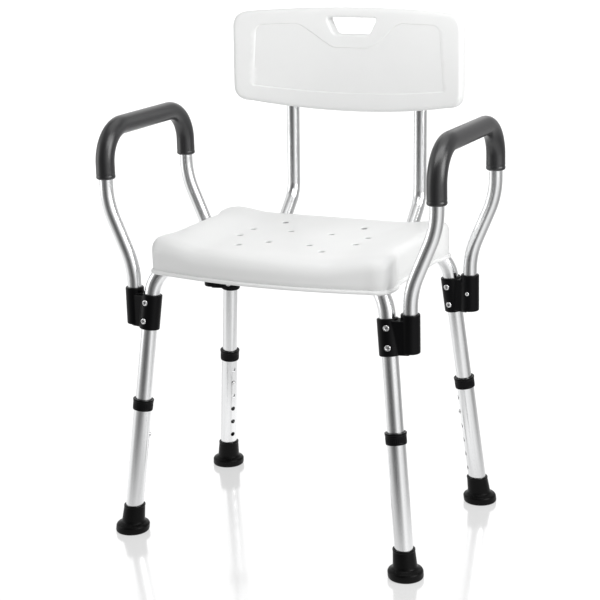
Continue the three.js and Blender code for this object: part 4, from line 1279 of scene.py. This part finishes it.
def back_screw_shape(sx, height):
    """A screw into a boss: a low domed head with a cross recess, facing the rear."""
    seat = BOSS_R + GAP
    profile = [(0, 4), (1.7, 4, 0.3), (2.1, 5, 0.2), (2.1, seat, 0), (4.4, seat, 0.3),
               (4.2, seat + 0.8, 0.5), (2.6, seat + 2, 1), (0, seat + 2)]
    recess = cross_recess(2.3, seat + 0.9, seat + 3)
    to_place = TO_BACK @ Matrix.Translation((sx * BACK_TUBE_X, 0, height)) @ Z_TO_Y
    shape, hole = moved(lathe(rounded(profile, 0.3), 40), to_place), moved(recess, to_place)
    return piece("back_screw", shape, 40, hole)


# ---- back tube sockets


def socket_screw_point(sx, side):
    return Vector((sx * BACK_TUBE_X + side * 18.4, SOCKET_Y[1] - 9, 0))


def socket_shape(sx):
    top = SEAT_UNDERSIDE - GAP
    length = SOCKET_Y[1] - SOCKET_Y[0]
    x, y = sx * BACK_TUBE_X, sum(SOCKET_Y) / 2
    height = top - SOCKET_BOTTOM
    body = block((2 * SOCKET_HALF_WIDTH, length, height), (x, y, SOCKET_BOTTOM + height / 2), 3, 1.2)
    obj = new_object("socket", body)
    flange = block((2 * SOCKET_FLANGE, length, FLANGE_THICKNESS),
                   (x, y, top - FLANGE_THICKNESS / 2), 3, 0.6)
    cut(obj, flange, operation="UNION")
    bore = moved(rod(ARM_R + GAP, SOCKET_Y[0] - 5, SOCKET_Y[1] + 5, 56), Z_TO_Y)
    cut(obj, shifted(bore, x, 0, SOCKET_Z))
    small = rod(SMALL_SCREW_R, SOCKET_BOTTOM, top + 5)
    holes = [shifted(small, *socket_screw_point(sx, side)) for side in (-1, 1)]
    holes.append(shifted(rod(HOLE_R, SOCKET_BOTTOM - 5, SOCKET_Z - 3, 32), x, SOCKET_BUTTON_Y))
    cut(obj, *holes)
    shade(obj, 38)
    return obj


# ---- the chair


def cross_bolt():
    """The bolt where the leg tubes cross, with its washer and head."""
    seat = CROSS_Z + UPPER_R + GAP
    low = CROSS_Z - CROSS_DIP - UPPER_R - 8
    washer = [(0, seat), (6.5, seat, 0.2), (6.5, seat + 1, 0.3), (0, seat + 1)]
    return piece("bolt", merged(
        threaded(3, low, seat + 0.5),
        lathe(rounded(washer, 0)),
        hexagon(9.4, seat + 0.9, seat + 4.5),
    ), 35)


def cross_nut():
    top = CROSS_Z - CROSS_DIP - UPPER_R - GAP
    obj = new_object("nut", hexagon(10, top - 6, top - 1.1))
    flange = [(0, top - 1.6), (7, top - 1.6, 0.4), (7, top, 0.2), (0, top)]
    cut(obj, lathe(rounded(flange, 0)), operation="UNION")
    cut(obj, rod(3.35, top - 8, top + 2, 40))
    shade(obj, 35)
    return obj


place(seat_shape(), "seat", "frame", PLASTIC)
place(back_shape(), "backrest", "backrest_unit", PLASTIC)
place(leg_frame_shape("front_left", "back_right", 0), "leg_frame_upper", "frame", METAL)
place(leg_frame_shape("front_right", "back_left", CROSS_DIP), "leg_frame_lower", "frame", METAL)
place(cross_bolt(), "cross_bolt", "frame", STEEL)
place(cross_nut(), "cross_nut", "frame", STEEL)

leg_tube = lower_leg_shape()
collar = collar_shape()
leg_snap = snap_button(9.5, LOWER_R + 2.8, 5)
arm_snap = snap_button(7.8, ARM_LOBE_R + 0.8, 4)
back_snap = snap_button(7.8, 15.5, 4)
clamp = clamp_shape("front_left")
seat_screw = pan_head(CROSS_Z - UPPER_R - GAP, 3, 4.5, 2.4, SCREW_HOLE_TOP - 2)
head_z = SEAT_UNDERSIDE - FLANGE_THICKNESS - 2 * GAP
socket_screw = pan_head(head_z, 2.4, 3, 1.8, SCREW_HOLE_TOP - 1)
for name, (sx, sy) in CORNERS.items():
    to_leg = LEGS[name][3]
    leg_body = f"lower_leg_{name}_body"
    place(copy_of(leg_tube, to_leg), f"lower_leg_{name}", leg_body, METAL)
    place(copy_of(collar, to_leg), f"leg_collar_{name}", leg_body, BLACK)
    place(foot_shape(sx, sy), f"foot_{name}", leg_body, RUBBER)
    button = f"leg_button_{name}"
    place(copy_of(leg_snap, to_leg @ TO_BUTTON), button, button + "_body", STEEL)
    mirror = Matrix.Diagonal((-sx, -sy, 1, 1))
    place(copy_of(clamp, mirror), f"arm_clamp_{name}", "frame", BLACK)
    for height, which in zip(RIVET_STEPS, ("lower", "upper")):
        place(rivet_shape(name, height), f"clamp_rivet_{name}_{which}", "frame", STEEL)
    at = Matrix.Translation(seat_screw_point(name))
    place(copy_of(seat_screw, at), f"seat_screw_{name}", "frame", STEEL)
    basis = Matrix(((0, sy, 0), (-sy, 0, 0), (0, 0, -1))).to_4x4()
    if basis.determinant() < 0:
        basis = basis @ MIRROR_Y
    at = Matrix.Translation((sx * ARM_FOOT_X, sy * ARM_Y, ARM_BUTTON_Z))
    button = f"arm_button_{name}"
    place(copy_of(arm_snap, at @ basis), button, button + "_body", STEEL)
for name, sx in SIDES.items():
    place(arm_tube_shape(sx), f"armrest_tube_{name}", f"armrest_{name}", METAL)
    place(grip_shape(name), f"armrest_grip_{name}", f"armrest_{name}", FOAM)
    place(back_tube_shape(sx), f"back_tube_{name}", "backrest_unit", METAL)
    place(socket_shape(sx), f"back_socket_{name}", "frame", BLACK)
    for side, which in ((-1, "a"), (1, "b")):
        at = Matrix.Translation(socket_screw_point(sx, side))
        place(copy_of(socket_screw, at), f"socket_screw_{name}_{which}", "frame", STEEL)
    for height, which in zip(BACK_SCREWS, ("lower", "upper")):
        node = f"backrest_screw_{name}_{which}"
        place(back_screw_shape(sx, height), node, "backrest_unit", STEEL)
    down, across, forward = (0, 0, -1), (1, 0, 0), (0, -1, 0)
    basis = Matrix((down, across, forward)).transposed().to_4x4()
    at = Matrix.Translation((sx * BACK_TUBE_X, SOCKET_BUTTON_Y, SOCKET_Z))
    button = f"back_button_{name}"
    place(copy_of(back_snap, at @ basis), button, button + "_body", STEEL)
for spare in (leg_tube, collar, leg_snap, arm_snap, back_snap, clamp, seat_screw, socket_screw):
    bpy.data.objects.remove(spare)


# ---- studio

STUDIO_R, STUDIO_SIDES = 60, 64
# compass direction in degrees, and how bright the studio is there
SOFT_BOXES = ((-180, 0.72), (-172, 1.25), (-138, 1.25), (-125, 0.68), (-75, 1.0), (-40, 0.36),
              (-12, 0.13), (8, 0.1), (28, 0.3), (55, 1.05), (78, 0.8), (112, 0.3), (140, 0.5),
              (180, 0.72))


def stage_object(name, points, faces, material):
    obj = new_object(name, (points, faces))
    obj.data.materials.append(material)
    return obj


def studio_ring(radius, height):
    return [Vector((*p, height)) for p in circle(0, 0, radius, STUDIO_SIDES)]


def studio_sides():
    """What polished surfaces see round them: soft boxes and the dark gaps between them, by
    compass direction, paler close to the chair."""
    material = bpy.data.materials.new("studio_sides")
    material.use_nodes = True
    tree = material.node_tree
    tree.nodes.clear()

    def calculate(operation, first, second=0.0):
        return add_node(tree, "Math", 0, {0: first, 1: second}, operation=operation)

    where = add_node(tree, "TexCoord", "Object")
    x = add_node(tree, "SeparateXYZ", "X", {0: where})
    y = add_node(tree, "SeparateXYZ", "Y", {0: where})
    angle = calculate("ARCTAN2", x, calculate("MULTIPLY", y, -1))
    turn = calculate("ADD", calculate("DIVIDE", angle, 2 * math.pi), 0.5)
    boxes = add_node(tree, "ValToRGB", "Color", {"Fac": turn})
    ramp = boxes.node.color_ramp
    ramp.interpolation = "EASE"
    while len(ramp.elements) < len(SOFT_BOXES):
        ramp.elements.new(0.5)
    for element, (azimuth, level) in zip(ramp.elements, SOFT_BOXES):
        element.position = azimuth / 360 + 0.5
        element.color = (level, level, level, 1)
    squares = calculate("ADD", calculate("MULTIPLY", x, x), calculate("MULTIPLY", y, y))
    reach = {"From Min": 0.1, "From Max": 1.2, "To Min": 0.32, "To Max": 1,
             "Value": calculate("SQRT", squares)}
    far = add_node(tree, "MapRange", "Result", reach, interpolation_type="SMOOTHSTEP")
    colour = mix_of(tree, far, (1.05, 1.05, 1.05, 1), boxes)
    glow = add_node(tree, "Emission", "Emission", {"Color": colour})
    out = tree.nodes.new("ShaderNodeOutputMaterial")
    tree.links.new(glow, out.inputs["Surface"])
    return material


pale = finish_of(
    "pale_floor", (0.26, 0.26, 0.26), (0.258, 0.258, 0.258), (0.1, 0.13), 30, 0,
    sockets={"Emission Color": (1, 1, 1, 1), "Emission Strength": 0.69, "Coat Weight": 1,
             "Coat Roughness": 0.14},
)
pale.cycles.emission_sampling = "NONE"
rim = [tuple(range(STUDIO_SIDES))]
floor = stage_object("floor", studio_ring(STUDIO_R, 0), rim, pale)
floor.visible_glossy = False

rings = [studio_ring(r, -0.002) for r in (0.05, 0.4, 0.8, 1.4, 2.2, 3.4, STUDIO_R)]
rings += [studio_ring(STUDIO_R, h) for h in (30, 64)]
points, faces = skin(rings)
sides = stage_object("studio_sides", points, faces[1:-1], studio_sides())
for ray in ("camera", "diffuse", "shadow", "transmission"):
    setattr(sides, "visible_" + ray, False)


def lamp(name, spot, aim, size, power):
    """A soft box of light at a spot, facing another."""
    light = bpy.data.lights.new(name, "AREA")
    light.shape = "RECTANGLE"
    light.size, light.size_y = size
    light.energy = power
    obj = bpy.data.objects.new(name, light)
    obj.location = spot
    obj.rotation_mode = "QUATERNION"
    obj.rotation_quaternion = (Vector(spot) - Vector(aim)).to_track_quat("Z", "Y")
    obj.visible_camera = False
    bpy.context.scene.collection.objects.link(obj)


lamp("side", (2.4, -0.35, 1.25), (0, 0, 0.5), (1.4, 1.4), 30)
lamp("left", (-2.2, -0.9, 0.75), (0, 0, 0.45), (1.4, 1.4), 7)
lamp("overhead", (0.32, -0.3, 1.08), (0.06, 0.18, 0.68), (0.7, 0.35), 2.4)
lamp("top", (0.1, 0.45, 3), (0, 0, 0.45), (2.4, 2.2), 15)

bpy.context.scene.view_settings.view_transform = "Standard"
world = bpy.data.worlds.new("studio")
bpy.context.scene.world = world
world.use_nodes = True
sky = world.node_tree.nodes["Background"]
connect(world.node_tree, sky, {"Color": (1, 1, 1, 1), "Strength": 0.37})

# ---- camera

azimuth, elevation, roll = (math.radians(a) for a in (26.147, 14.91, -1.546))
distance, aim = 2.62584, Vector((-0.006358, SHIFT_Y / 1000, 0.370476))
back = Vector((math.sin(azimuth) * math.cos(elevation), -math.cos(azimuth) * math.cos(elevation),
               math.sin(elevation)))
right = Vector((math.cos(azimuth), math.sin(azimuth), 0))
upward = back.cross(right)
across = right * math.cos(roll) + upward * math.sin(roll)
upward = upward * math.cos(roll) - right * math.sin(roll)
camera_data = bpy.data.cameras.new("camera")
camera_data.sensor_width = 36
camera_data.lens = 97.64
camera = bpy.data.objects.new("camera", camera_data)
turn = Matrix((across, upward, back)).transposed().to_4x4()
camera.matrix_world = Matrix.Translation(aim + back * distance) @ turn
bpy.context.scene.collection.objects.link(camera)
bpy.context.scene.camera = camera
